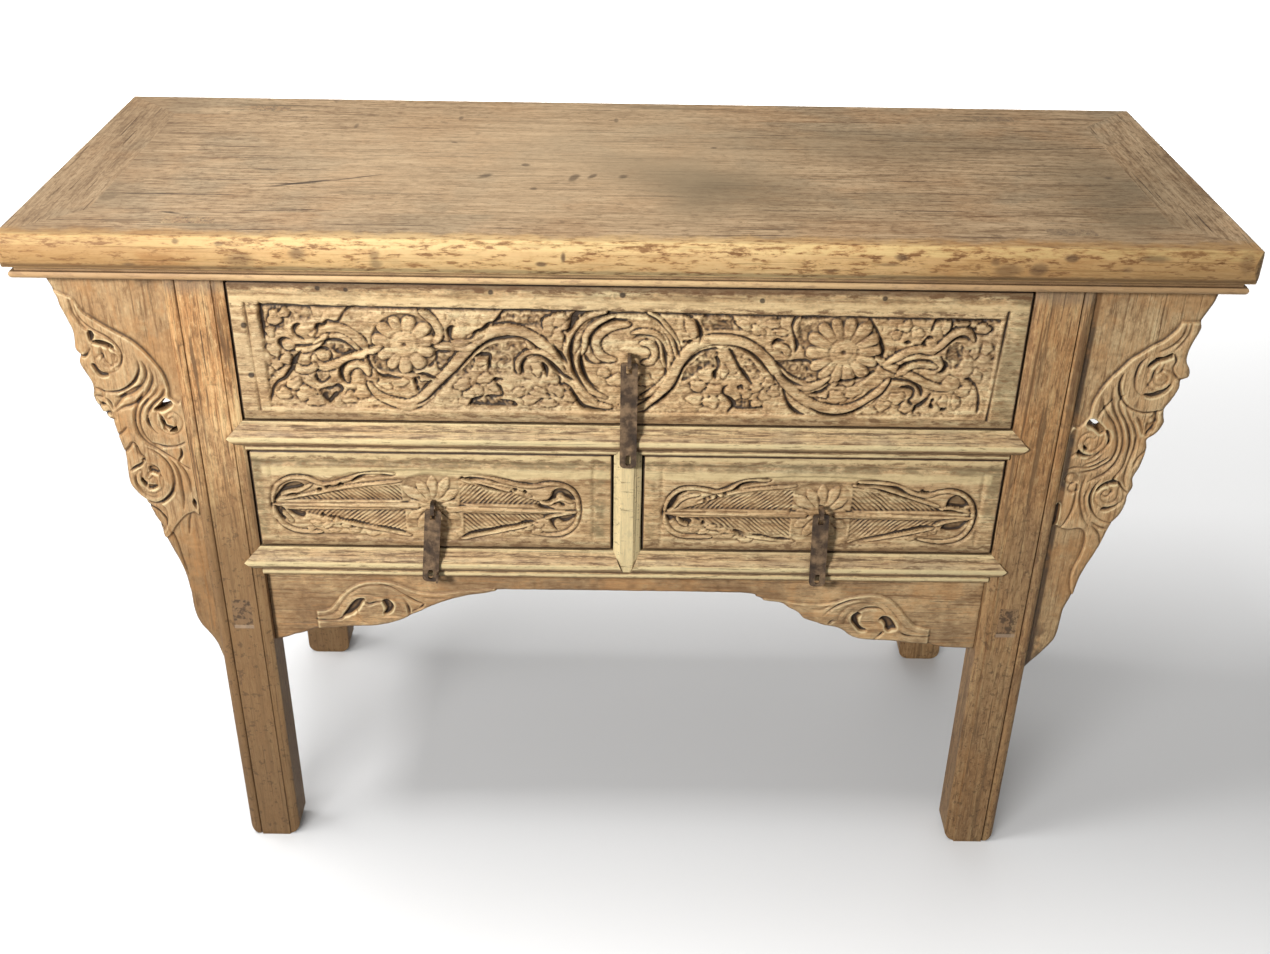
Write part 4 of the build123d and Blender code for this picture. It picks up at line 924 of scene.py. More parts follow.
def carve_upper_front():
    """Two flowers, scrolls and leaves among winding vines, in a sunken field."""
    relief, edge = front_relief("drawer_top_front")
    field = (-401, 652, 401, 649, 403, 771, 0, 774, -401, 777)
    relief.area(field, -2.0, 2.5, smooth_line=False)
    worked = relief.height < -1.0
    for spacing, amount, seed in ((11.0, 0.9, 1), (6.0, 0.8, 2), (3.0, 0.35, 8)):
        relief.ripple(spacing, amount, seed, worked)
    relief.curls(worked, 3.2, 0.9, 14)
    grounds = (
        (-6.5, (-338, 729, -325, 735, -312, 733, -302, 724, -300, 719, -318, 716, -328, 722)),
        (-6.0, (-281, 701, -283, 714, -270, 716, -262, 708, -255, 699, -265, 695, -275, 697)),
        (-6.0, (-212, 700, -213, 716, -208, 722, -185, 722, -190, 711, -200, 702)),
        (-5.5, (-150, 753, -142, 766, -134, 772, -82, 772, -84, 763, -90, 755, -98, 751, -112, 754,
                -128, 757, -142, 755)),
        (-5.0, (-192, 692, -180, 706, -166, 721, -150, 733, -132, 738, -114, 735, -112, 726, -120, 718,
                -126, 706, -124, 696, -140, 694, -154, 702, -156, 716, -168, 716, -172, 704, -180, 694)),
        (-7.0, (-346, 672, -330, 676, -322, 680, -318, 673, -326, 664, -336, 657)),
        (-7.0, (-176, 656, -172, 663, -160, 667, -145, 664, -130, 662, -128, 655)),
        (-5.0, (-240, 690, -236, 680, -234, 672, -222, 680, -212, 688, -222, 690)),
        (-6.0, (-60, 752, -68, 756, -62, 770, -46, 772, -52, 762)),
        (-4.0, (-399, 740, -399, 775, -350, 775, -345, 760, -365, 755, -385, 745)),
        (-4.0, (-398, 664, -394, 678, -380, 690, -368, 702, -364, 716, -374, 716, -386, 702, -398, 690)),
        (-5.5, (82, 751, 78, 763, 84, 771, 108, 771, 116, 762, 122, 752, 100, 752)),
        (-5.5, (58, 690, 62, 704, 72, 716, 84, 726, 96, 728, 98, 718, 96, 706, 88, 708, 78, 704, 70, 694)),
        (-4.0, (112, 728, 116, 716, 122, 706, 130, 696, 140, 692, 146, 700, 140, 712, 130, 722, 120, 728)),
        (-5.5, (163, 714, 200, 714, 208, 706, 204, 696, 192, 693, 178, 698, 168, 706)),
        (-6.5, (120, 655, 118, 664, 128, 669, 140, 665, 150, 657)),
        (-5.0, (188, 770, 184, 750, 186, 735, 193, 730, 200, 742, 206, 756, 216, 770)),
        (-5.5, (350, 712, 350, 735, 358, 742, 366, 738, 368, 722, 362, 710)),
        (-4.0, (343, 750, 346, 767, 360, 769, 395, 768, 396, 752, 384, 748, 372, 757, 358, 756)),
    )
    for level, points in grounds:
        relief.area(points, level, 3.5)
    deep = relief.height < -3.6
    relief.ripple(4.5, 1.3, 9, deep)
    relief.curls(deep, 3.0, 1.2, 15)
    relief.ledge((-401, 776, -200, 775, 0, 773, 200, 771, 401, 770), 5.5, 7.0, -1, (0, 0))
    relief.ledge((-401, 777, -401, 755, -400, 734), 5.0, 6.0, 1, (0, 0.2))
    for lump in (
            (-386, 760, 7, 9, 0), (-375, 766, 6, 5, 30), (-392, 744, 5, 6, 0), (-390, 722, 7, 8, 20),
            (-378, 711, 6, 8, -30), (-389, 704, 6, 6, 0), (-372, 680, 9, 7, 30), (-385, 668, 8, 7, 0),
            (-360, 668, 11, 9, 0), (-348, 691, 7, 5, -20), (-350, 659, 10, 6, 0), (-312, 664, 9, 7, 20),
            (-298, 671, 8, 9, -20), (-326, 691, 6, 6, 0), (-256, 686, 10, 7, -30), (-225, 689, 8, 4, 0),
            (-272, 682, 8, 5, -40), (-163, 711, 6, 6, 0), (-185, 682, 9, 7, 30), (-170, 675, 8, 6, 0),
            (-160, 690, 9, 6, 20), (-178, 670, 7, 5, 0), (-150, 680, 7, 6, 0), (-100, 672, 10, 7, -20),
            (-80, 676, 10, 6, -30), (-66, 668, 8, 6, -40), (-110, 664, 9, 6, 10), (-90, 660, 9, 5, 0),
            (-122, 674, 6, 6, 0), (-102, 703, 6, 9, 10), (-87, 756, 7, 14, -25), (-76, 763, 6, 9, -30),
            (68, 755, 7, 14, 15), (85, 697, 8, 8, 0), (77, 684, 9, 7, 0), (95, 679, 9, 8, 0),
            (74, 668, 9, 7, 0), (92, 664, 9, 7, 0), (105, 702, 4, 8, 0), (131, 675, 6, 6, 0),
            (142, 683, 7, 6, 20), (155, 689, 7, 6, 40), (151, 673, 6, 6, 0), (162, 679, 6, 7, 0),
            (143, 663, 6, 5, 0), (125, 759, 9, 5, -30), (140, 753, 8, 5, -30), (155, 761, 9, 5, 0),
            (166, 751, 8, 4, -10), (232, 672, 10, 8, 0), (217, 676, 6, 5, 0), (250, 679, 9, 7, 20),
            (300, 760, 8, 6, 20), (315, 752, 7, 5, 0), (291, 750, 6, 5, 0), (345, 760, 5, 8, -10),
            (362, 763, 8, 4, 0), (385, 758, 8, 6, 0), (392, 735, 6, 8, 0), (380, 729, 5, 6, 0),
            (300, 672, 9, 7, 0), (285, 662, 8, 6, 20), (312, 660, 8, 6, 0), (358, 692, 9, 8, 0),
            (373, 682, 8, 6, 20), (352, 668, 5, 8, 0), (366, 668, 5, 8, 10), (385, 700, 6, 9, 0),
            (-15, 690, 9, 7, 20), (-28, 700, 7, 6, -30), (18, 690, 8, 7, 0)):
        relief.lump(*lump)
    relief.flower(-247, 731, 15, 35, 11, 0.3)
    relief.flower(235.5, 728.5, 15, 42, 14, 0.1)
    ribbons = (
        (13, (-290, 682, -280, 668, -265, 660, -250, 656, -238, 659, -225, 669, -212, 684, -198, 699,
              -185, 716, -173, 731, -158, 743, -142, 749, -125, 749, -110, 743, -97, 734, -86, 721,
              -78, 709, -70, 697, -62, 684, -54, 671, -42, 661, -20, 656)),
        (10, (-349, 741, -342, 742, -332, 748, -320, 750, -308, 746, -298, 738, -291, 728, -288, 720)),
        (8, (-366, 723, -356, 723, -346, 726, -338, 734, -330, 742)),
        (10, (-347, 716, -346, 707, -338, 702, -328, 704, -315, 709, -300, 715, -285, 721, -272, 728)),
        (9, (-312, 684, -314, 694, -309, 702, -300, 706, -292, 702, -288, 692)),
        (9, (-214, 729, -200, 729, -185, 728, -168, 729)),
        (7, (-195, 735, -188, 733, -180, 735, -172, 740, -160, 744)),
        (9, (-228, 771, -218, 764, -210, 753, -208, 742, -214, 732)),
        (8, (-122, 697, -123, 706, -119, 715, -110, 721, -99, 723, -90, 718, -82, 709, -74, 700, -66, 692)),
        (9, (-25, 773, -44, 767, -58, 753, -66, 738, -69, 720, -65, 702, -58, 688, -48, 673, -35, 661)),
        (7, (-16, 769, -36, 759, -47, 746, -50, 730, -58, 715, -56, 700, -49, 686, -40, 675, -25, 668)),
        (10, (0, 758, -15, 757, -28, 750, -36, 740, -36, 728, -28, 718, -15, 715)),
        (8, (20, 773, 32, 763, 42, 751, 49, 738, 53, 724, 55, 712)),
        (8, (3, 748, 16, 750, 29, 746, 36, 734, 38, 718, 45, 702, 38, 688, 26, 676, 12, 668)),
        (8, (12, 736, 22, 735, 28, 725, 24, 714, 14, 712)),
        (12, (2, 652, 20, 659, 33, 671, 42, 684, 49, 699, 57, 716, 68, 731, 84, 740, 101, 742, 118, 740,
              135, 732, 148, 721, 160, 707, 172, 695, 185, 688, 200, 685, 212, 689, 222, 697)),
        (11, (163, 699, 178, 684, 192, 672, 208, 662, 225, 657, 242, 657, 257, 662, 270, 671, 281, 683,
              289, 696)),
        (9, (272, 722, 285, 713, 300, 706, 315, 699, 330, 691, 345, 686, 356, 684)),
        (9, (281, 714, 294, 722, 306, 730, 320, 733, 332, 731, 343, 739, 352, 749, 362, 755, 372, 752,
             377, 744)),
        (7, (296, 700, 312, 712, 326, 714, 340, 711)),
        (8, (176, 725, 168, 733, 158, 735)),
        (9, (-372, 702, -360, 697, -350, 700, -346, 706)),
    )
    for width, points in ribbons:
        relief.ribbon(points, width)
    cuts = (
        (2.5, 4.0, (-345, 737, -341, 744, -340, 752, -333, 753, -329, 758, -318, 757, -313, 763, -309, 769,
                    -302, 774, -294, 776)),
        (3.0, 5.0, (-358, 754, -364, 751, -366, 745, -363, 739, -356, 735)),
        (3.0, 5.0, (-371, 735, -378, 735, -383, 732, -382, 727, -377, 722, -368, 720)),
        (3.0, 4.0, (-368, 728, -355, 727, -345, 729, -335, 733, -322, 734, -312, 731, -302, 722)),
        (3.0, 5.0, (-346, 720, -342, 723, -334, 723, -328, 719, -328, 713, -331, 710)),
        (3.5, 5.5, (-359, 724, -364, 716, -370, 707, -371, 701, -375, 696, -379, 690, -383, 686, -391, 681,
                    -396, 674, -399, 665, -400, 659)),
        (3.5, 5.0, (-298, 712, -306, 710, -313, 706, -318, 699, -319, 692, -316, 684, -310, 681)),
        (2.5, 4.0, (-346, 696, -347, 688, -343, 682, -337, 684, -331, 690)),
        (3.0, 4.5, (-338, 673, -329, 676, -325, 679, -321, 673)),
        (3.0, 4.5, (-326, 668, -331, 663, -336, 656)),
        (3.0, 5.0, (-281, 717, -288, 716, -286, 706, -281, 698, -275, 692, -262, 690, -252, 689)),
        (3.0, 4.5, (-200, 721, -211, 721, -213, 714, -217, 707, -222, 703)),
        (2.5, 4.0, (-248, 696, -242, 696, -236, 694, -228, 694, -220, 690, -210, 689)),
        (3.0, 4.5, (-238, 687, -237, 680, -235, 673)),
        (3.2, 5.5, (-237, 657, -228, 661, -220, 668, -210, 679, -190, 700, -180, 712, -170, 722, -160, 731,
                    -150, 736, -138, 739, -122, 740, -112, 737, -104, 731, -98, 726)),
        (3.0, 5.0, (-181, 738, -174, 739, -170, 743, -167, 747, -160, 749, -157, 752, -154, 756, -148, 758,
                    -143, 762, -141, 767, -135, 771, -130, 773, -105, 773, -80, 772)),
        (5.0, 5.5, (-190, 753, -195, 751, -197, 745, -196, 739, -192, 735)),
        (3.0, 5.0, (-45, 772, -55, 770, -60, 765, -62, 757, -64, 752, -67, 749, -73, 749, -71, 743,
                    -70, 733)),
        (3.0, 4.5, (-84, 734, -78, 724, -72, 716, -68, 710, -66, 704)),
        (3.0, 4.5, (-28, 770, -45, 763, -57, 750, -63, 737, -65, 722, -62, 705, -55, 690, -45, 675)),
        (3.2, 5.0, (-52, 733, -54, 722, -53, 710, -50, 698, -45, 688, -38, 682, -32, 678)),
        (2.6, 3.5, (0, 764, -20, 762, -33, 754, -42, 742, -43, 733, -39, 724)),
        (2.4, 3.0, (-50, 722, -46, 714, -38, 710, -25, 711)),
        (4.0, 5.5, (-170, 717, -157, 718, -154, 716, -155, 706, -156, 700)),
        (3.0, 4.5, (-151, 688, -140, 689)),
        (3.0, 5.0, (-149, 686, -145, 680, -142, 675, -141, 670, -146, 667, -160, 667)),
        (3.0, 5.0, (-178, 656, -175, 662, -170, 664, -162, 668)),
        (4.0, 5.5, (-117, 697, -119, 704, -117, 712, -112, 718, -104, 720, -96, 718, -88, 712, -80, 703,
                    -72, 695, -60, 689)),
        (4.0, 5.5, (-96, 712, -92, 702, -91, 693)),
        (3.5, 5.5, (-85, 699, -80, 695, -77, 690, -76, 684, -70, 684, -65, 680, -61, 672, -57, 664,
                    -52, 657, -45, 655, -25, 652)),
        (2.6, 4.5, (20, 770, 30, 763, 38, 754, 46, 745, 51, 735, 53, 727, 56, 720)),
        (2.6, 4.0, (3, 741, 12, 745, 25, 745, 34, 738, 38, 728, 41, 708, 40, 698)),
        (3.0, 5.0, (60, 770, 70, 765, 75, 757, 78, 748, 77, 740, 76, 736)),
        (2.5, 4.0, (58, 738, 68, 738)),
        (3.5, 5.5, (20, 655, 30, 662, 40, 671, 50, 682, 56, 695, 60, 706, 68, 716, 78, 725, 88, 729,
                    97, 730)),
        (2.6, 4.0, (105, 733, 115, 733, 125, 730, 135, 724, 145, 715, 152, 706, 158, 698)),
        (3.0, 5.0, (109, 731, 113, 725, 117, 717, 121, 708, 127, 700, 132, 693, 137, 687)),
        (4.0, 5.5, (96, 719, 99, 714, 98, 706, 95, 700, 96, 693)),
        (3.0, 5.0, (110, 686, 105, 680, 106, 674, 112, 669, 117, 663, 117, 658, 111, 652)),
        (6.0, 5.0, (121, 682, 124, 683, 127, 684)),
        (3.0, 5.0, (172, 682, 174, 675, 178, 665, 183, 657, 190, 652, 197, 650)),
        (2.5, 4.0, (160, 716, 178, 716, 195, 716, 202, 713)),
        (2.5, 4.0, (161, 715, 166, 708, 172, 698, 180, 691, 190, 687, 200, 686)),
        (2.5, 4.0, (156, 737, 162, 741, 170, 741)),
        (3.0, 4.5, (184, 770, 179, 765, 177, 758, 179, 750, 182, 742, 184, 734, 182, 727)),
        (3.0, 4.5, (260, 769, 268, 758, 274, 745, 279, 730, 278, 720)),
        (3.0, 4.5, (273, 705, 258, 697, 242, 693, 227, 691)),
        (2.5, 4.0, (300, 741, 305, 741, 310, 741)),
        (4.0, 5.5, (322, 737, 323, 742, 327, 747, 332, 744)),
        (3.0, 5.0, (329, 755, 331, 762, 334, 767, 342, 770)),
        (2.5, 4.0, (336, 727, 345, 734, 352, 742, 360, 747, 368, 747, 372, 743)),
        (3.5, 5.0, (343, 725, 347, 718, 350, 712, 347, 706, 340, 704)),
        (2.5, 4.0, (296, 707, 303, 713, 312, 718, 325, 719, 335, 717)),
        (4.0, 5.0, (291, 695, 298, 695, 310, 693, 320, 688, 326, 682, 327, 675)),
        (4.0, 5.0, (302, 686, 312, 685, 318, 681, 317, 673, 314, 669, 318, 662)),
        (4.0, 5.5, (337, 679, 334, 671, 328, 664, 322, 659, 320, 652)),
        (2.5, 3.5, (372, 698, 380, 695, 388, 685, 392, 670, 392, 655)),
        (3.0, 4.5, (341, 672, 339, 665, 341, 659)),
        (3.0, 4.5, (350, 656, 354, 658, 358, 660)),
        (3.0, 5.0, (200, 662, 215, 652, 230, 649, 245, 651, 260, 659, 270, 667, 280, 675, 287, 685,
                    292, 696)),
        (3.0, 4.5, (200, 676, 210, 677, 218, 681, 224, 688, 228, 693)),
    )
    for width, depth, points in cuts:
        relief.cut(points, width + 2.6, depth + 1.5)
    creases = (
        (-338, 745, -328, 748, -318, 748, -306, 742, -296, 735, -291, 727),
        (-347, 712, -345, 705, -340, 701, -331, 701),
        (-302, 700, -294, 692, -292, 683),
        (-282, 672, -275, 665, -266, 660, -256, 657, -240, 656),
        (-229, 769, -221, 764, -213, 756, -209, 746, -211, 738, -215, 735),
        (-156, 750, -145, 754, -132, 756, -120, 755, -108, 750, -98, 745),
        (-110, 680, -95, 672, -80, 668),
        (80, 747, 100, 748, 115, 747, 130, 742, 140, 735, 150, 727, 160, 718),
        (215, 662, 230, 660, 250, 664, 262, 672, 270, 680),
        (350, 750, 355, 757, 362, 760, 372, 759, 380, 746),
    )
    for points in creases:
        relief.crease(points, 6.0, 2.0)
    for x, z, radius in ((-355, 746, 7), (-374, 728, 7), (-338, 716, 6), (-186, 744, 8), (163, 733, 6),
                         (331, 740, 6), (358, 690, 10), (391, 722, 7)):
        relief.knob(x, z, radius, -0.3)
    relief.cut((-413, 648, -414, 700, -416, 778), 3.5, 2.4, (0, 0))
    relief.cut((404, 646, 406, 690, 408, 735, 410, 779), 4.0, 3.6, (0, 0))
    relief.cut((-420, 643, 0, 643, 420, 643), 2.5, 0.8)
    relief.ripple(9.0, 0.35, 3)
    relief.ripple(3.5, 0.18, 4)
    drawer_front("top", relief, edge)


def leaf_half(relief, rib, reach, turn, points):
    """Half of a long leaf that slopes down to its midrib, cut over with slanting veins."""
    relief.tilt(points, rib, -5.0, -2.6, reach)
    relief.hatch(points, 4.1, turn, 2.6)


def petals(relief, x, z):
    """Uneven leaf-shaped petals around the staple of a lower front, with cuts between them."""
    turns = (0, 33, 62, 90, 118, 147, 180, 212, 240, 300, 328)
    relief.area((x - 30, z - 32, x - 30, z + 34, x + 30, z + 34, x + 30, z - 32), -3.8, 6.0)
    for degrees in turns:
        a = math.radians(degrees)
        far = 16.0 if degrees in (0, 180) else 21.0 + 3.0 * math.cos(2.0 * degrees)
        relief.petal(x + far * math.cos(a), z + 1.08 * far * math.sin(a), 0.95 * far, 7.6, a, -0.5, 1.5)
    for low, high in zip(turns, turns[1:] + (360,)):
        a = math.radians(0.5 * (low + high))
        c, n = math.cos(a), math.sin(a)
        points = (x + 9 * c, z + 9 * n, x + 18 * c + 1.5 * n, z + 18 * n, x + 28 * c, z + 30 * n)
        relief.cut(points, 2.8, 2.6, (0.5, 0.4))
    relief.knob(x, z, 9.0, -0.8, 1.0)


def carve_lower_front(which, middle, seed, motif, pockets, outlines, staple, leaves, ribbons, midribs,
                      lumps, cuts):
    """Two long leaves on either side of the staple, in a sunken motif with scrolled ends."""
    relief, edge = front_relief("drawer_%s_front" % which, 0.85 * GRID)
    relief.area(motif, -1.9, 3.0)
    for points in pockets:
        relief.area(points, -7.5, 2.4)
    for points in outlines:
        relief.crease(points, 7.0, 2.2)
    petals(relief, *staple)
    for leaf in leaves:
        leaf_half(relief, *leaf)
    for width, points in ribbons:
        relief.ribbon(points, width, -0.1, 2.4)
    for ends, points in midribs:
        relief.ribbon(points, 7.5, 0.0, 2.0, ends, 1.0)
    for lump in lumps:
        relief.lump(*lump, -0.4, 1.0)
    for width, points in cuts:
        relief.cut(points, width + 2.2, 6.0)
    border_x, border_low, border_high = 186, 474, 578
    relief.crease((middle - 205, 580, middle, 581, middle + 205, 580), 11.0, 1.8, (0, 0))
    for x in (middle - border_x, middle + border_x):
        relief.crease((x, border_low, x, 530, x, border_high), 10.0, 1.8, (0.1, 0.1))
    relief.ripple(9.0, 0.4, seed)
    relief.ripple(3.5, 0.2, 7)
    drawer_front(which, relief, edge)


# Leaves: height of the midrib, reach from it, slant of the veins and outline of each half
LEFT_DRAWING = dict(
    motif=(-416, 521, -414, 538, -405, 554, -388, 563, -365, 561, -350, 555, -325, 562, -290, 570,
           -225, 572, -160, 567, -125, 558, -95, 560, -68, 554, -56, 538, -54, 515, -60, 495, -75, 483,
           -110, 480, -225, 474, -340, 478, -390, 482, -408, 494),
    pockets=(
        (-411, 527, -408, 535, -402, 543, -396, 549, -388, 552, -381, 552, -376, 549, -378, 545, -386, 543,
         -395, 541, -401, 538, -405, 532),
        (-411, 517, -405, 518, -401, 515, -401, 507, -402, 500, -407, 505, -410, 511),
        (-398, 515, -390, 513, -380, 512, -377, 509, -380, 504, -385, 504, -391, 507, -395, 511),
        (-98, 531, -93, 532, -89, 537, -87, 543, -83, 547, -77, 547, -69, 544, -63, 538, -61, 533, -65, 532,
         -72, 536, -78, 540, -82, 538, -85, 533, -91, 529),
        (-91, 506, -80, 510, -60, 513, -66, 504, -74, 501, -82, 504, -86, 498, -82, 490, -88, 497),
    ),
    outlines=(
        (-413, 527, -410, 541, -404, 551, -395, 559, -385, 563, -372, 563, -360, 560, -350, 556, -342, 558,
         -330, 562, -315, 566, -290, 567),
        (-413, 513, -408, 503, -402, 492, -395, 486, -385, 482, -370, 481, -350, 481, -325, 481, -300, 480),
        (-110, 550, -100, 555, -90, 558, -80, 558, -70, 554, -61, 547, -56, 537, -54, 527, -55, 515,
         -59, 502, -65, 491, -75, 483, -88, 480, -105, 480, -125, 482),
        (-140, 557, -125, 555, -110, 554),
    ),
    staple=(-227, 524),
    leaves=(
        (527, 24, 48, (-405, 527, -360, 536, -328, 543, -301, 547, -263, 551, -262, 528)),
        (516, 30, -48, (-400, 515, -355, 504, -328, 497, -301, 493, -259, 485, -260, 516)),
        (524, 30, -48, (-196, 524, -196, 555, -166, 548, -139, 542, -109, 532, -92, 524)),
        (512, 30, 48, (-193, 512, -193, 481, -177, 486, -152, 491, -125, 496, -109, 501, -80, 513)),
    ),
    ribbons=(
        (5.5, (-414, 521, -413, 532, -408, 546, -398, 555, -386, 559, -372, 558, -361, 553, -350, 550,
               -338, 552, -327, 556, -316, 560, -300, 564, -270, 565)),
        (5.5, (-414, 521, -412, 508, -406, 497, -396, 489, -382, 485, -360, 484)),
        (5.5, (-190, 562, -165, 561, -140, 556, -120, 551, -106, 551, -92, 554, -78, 553, -66, 547,
               -59, 536, -57, 522, -58, 508, -62, 497, -72, 488, -88, 484, -112, 486)),
        (4.5, (-404, 535, -394, 538, -384, 540, -374, 545, -366, 550)),
        (4.5, (-404, 512, -398, 505, -393, 497)),
        (4.5, (-102, 529, -92, 527, -84, 531, -76, 534, -64, 529)),
        (4.5, (-96, 507, -84, 511, -72, 514, -60, 515)),
        (4.5, (-262, 556, -300, 551, -330, 546, -360, 539, -385, 533)),
        (4.5, (-255, 481, -290, 489, -325, 496, -352, 503)),
        (4.5, (-192, 558, -165, 551, -138, 545, -112, 537)),
        (4.5, (-196, 477, -170, 484, -140, 491, -112, 498)),
    ),
    midribs=(
        ((1.0, 0.0), (-414, 521, -390, 522, -350, 522, -300, 522, -246, 522)),
        ((0.0, 1.0), (-208, 518, -150, 518, -110, 517, -85, 517, -60, 516)),
    ),
    lumps=((-341, 499, 5, 4, 0), (-330, 494, 6, 4, 0), (-352, 494, 6, 4, 20), (-366, 497, 6, 4, -20),
           (-372, 489, 5, 3, 0), (-320, 488, 7, 3.5, 0), (-345, 487, 7, 3, 0), (-300, 483, 8, 3, 0),
           (-115, 493, 6, 3, 20), (-103, 497, 5, 3, 0), (-135, 485, 8, 3, 0), (-106, 489, 6, 3, 0)),
    cuts=(
        (3.0, (-320, 553, -313, 559, -303, 563, -290, 564, -272, 563)),
        (4.0, (-398, 532, -392, 535, -385, 535, -379, 534)),
        (4.0, (-360, 540, -357, 543, -355, 544)),
        (4.5, (-351, 545, -347, 548, -344, 547)),
        (5.0, (-337, 547, -333, 550, -330, 552)),
        (3.0, (-360, 506, -355, 506)),
        (3.5, (-350, 504, -344, 502)),
        (3.0, (-325, 500, -312, 495, -300, 492, -288, 490, -275, 487, -262, 485)),
        (3.5, (-195, 560, -185, 560, -165, 560, -155, 557, -148, 554)),
        (3.5, (-184, 558, -175, 553, -165, 549, -152, 545, -140, 542, -128, 541)),
        (4.0, (-136, 543, -132, 545, -129, 543)),
        (4.0, (-121, 542, -117, 543)),
        (3.5, (-86, 527, -80, 528, -73, 524)),
        (3.5, (-195, 478, -187, 483, -175, 486, -160, 489, -145, 493, -130, 496, -120, 500, -105, 501)),
        (3.5, (-108, 524, -98, 522, -85, 520)),
    ),
)

RIGHT_DRAWING = dict(
    motif=(41, 516, 44, 532, 52, 546, 66, 555, 90, 554, 104, 551, 122, 560, 150, 567, 225, 570, 300, 565,
           330, 553, 352, 551, 376, 556, 398, 549, 409, 533, 412, 512, 404, 490, 388, 480, 340, 477,
           225, 472, 120, 476, 66, 481, 50, 490),
    pockets=(
        (47, 521, 48, 530, 52, 537, 57, 543, 63, 547, 69, 546, 64, 542, 59, 537, 55, 529, 51, 522),
        (47, 513, 53, 512, 62, 510, 74, 508, 76, 504, 72, 500, 67, 499, 61, 503, 55, 507, 50, 505),
        (374, 529, 374, 536, 377, 542, 383, 545, 390, 545, 396, 541, 400, 536, 399, 531, 393, 528, 385, 528,
         379, 530),
        (371, 499, 374, 504, 380, 508, 392, 509, 403, 511, 399, 504, 393, 498, 385, 496, 377, 496),
    ),
    outlines=(
        (44, 518, 45, 530, 49, 541, 56, 549, 65, 553, 75, 553, 90, 552, 105, 549, 115, 552, 130, 560,
         150, 563),
        (44, 508, 47, 498, 55, 488, 65, 483, 80, 482, 100, 481, 125, 480, 150, 479),
        (322, 555, 335, 549, 350, 547, 362, 552, 374, 554, 386, 552, 397, 546, 405, 537, 409, 527, 409, 513,
         407, 500, 401, 488, 392, 480, 375, 478, 355, 481, 330, 484),
    ),
    staple=(227, 519),
    leaves=(
        (521, 28, -48, (60, 521, 86, 530, 105, 537, 130, 543, 165, 549, 194, 551, 194, 521)),
        (512, 28, 48, (64, 511, 95, 502, 125, 494, 160, 487, 193, 483, 193, 511)),
        (521, 30, 48, (262, 521, 262, 552, 300, 546, 340, 534, 380, 522)),
        (512, 28, -48, (262, 511, 392, 510, 345, 499, 300, 489, 262, 483)),
    ),
    ribbons=(
        (5.5, (43, 516, 46, 530, 52, 541, 62, 549, 75, 551, 90, 549, 104, 546, 116, 549, 127, 556, 140, 561,
               165, 563)),
        (5.5, (43, 516, 46, 502, 53, 491, 65, 485, 82, 484, 100, 484)),
        (5.5, (268, 562, 300, 560, 320, 554, 335, 547, 350, 545, 364, 550, 378, 551, 392, 545, 402, 534,
               406, 520, 405, 505, 399, 492, 388, 484, 370, 481, 345, 484)),
        (4.5, (54, 524, 62, 534, 72, 540, 84, 542)),
        (4.5, (58, 510, 64, 503, 72, 500)),
        (4.5, (366, 526, 378, 527, 392, 525, 402, 522)),
        (4.5, (362, 503, 376, 509, 392, 512, 404, 513)),
        (4.5, (196, 556, 160, 552, 130, 547, 104, 540, 82, 531)),
        (4.5, (198, 479, 160, 483, 125, 490, 92, 499)),
        (4.5, (262, 557, 300, 550, 335, 540, 365, 530)),
        (4.5, (262, 479, 300, 485, 335, 493, 362, 500)),
    ),
    midribs=(
        ((1.0, 0.0), (44, 516, 80, 516, 130, 516, 208, 516)),
        ((0.0, 1.0), (246, 516, 310, 516, 360, 515, 406, 515)),
    ),
    lumps=((112, 493, 5, 3.5, 0), (100, 497, 6, 3.5, 0), (90, 491, 6, 3.5, 20), (78, 493, 5, 3.5, 0),
           (120, 486, 7, 3, 0), (140, 480, 8, 3, 0), (350, 491, 6, 3, 0), (362, 495, 5, 3, 0),
           (336, 486, 7, 3, 0)),
    cuts=(
        (5.0, (118, 545, 124, 549, 131, 555, 138, 558, 148, 560, 162, 560)),
        (4.0, (89, 534, 94, 537, 98, 538)),
        (4.5, (103, 537, 106, 541)),
        (5.0, (112, 541, 115, 545, 118, 545)),
        (3.0, (87, 503, 93, 502)),
        (4.5, (126, 493, 135, 488, 145, 486, 160, 486)),
        (2.5, (160, 486, 175, 482, 195, 480)),
        (5.0, (266, 558, 285, 558, 302, 556, 315, 553, 325, 547)),
        (2.5, (262, 555, 285, 553, 305, 547, 322, 541, 340, 535, 358, 528)),
        (3.0, (265, 479, 280, 482, 300, 487, 320, 493, 335, 496, 345, 499, 360, 501)),
        (4.0, (341, 553, 346, 550, 351, 550)),
        (3.5, (370, 526, 376, 524, 385, 523, 395, 520)),
    ),
)

carve_upper_front()
carve_lower_front("left", -225.75, 5, **LEFT_DRAWING)
carve_lower_front("right", 225.75, 6, **RIGHT_DRAWING)


# ------------------------------------------------------------------ wings
WING_FRONT = -220.0
WING_BACK = -196.0
WING_INNER = 499.5     # distance of a wing's straight side from the middle of the table
WING_LOW = 293.0
WING_HIGH = 813.5
PLAIN = -3.2           # the uncarved part of a wing lies this far below the top of the carving

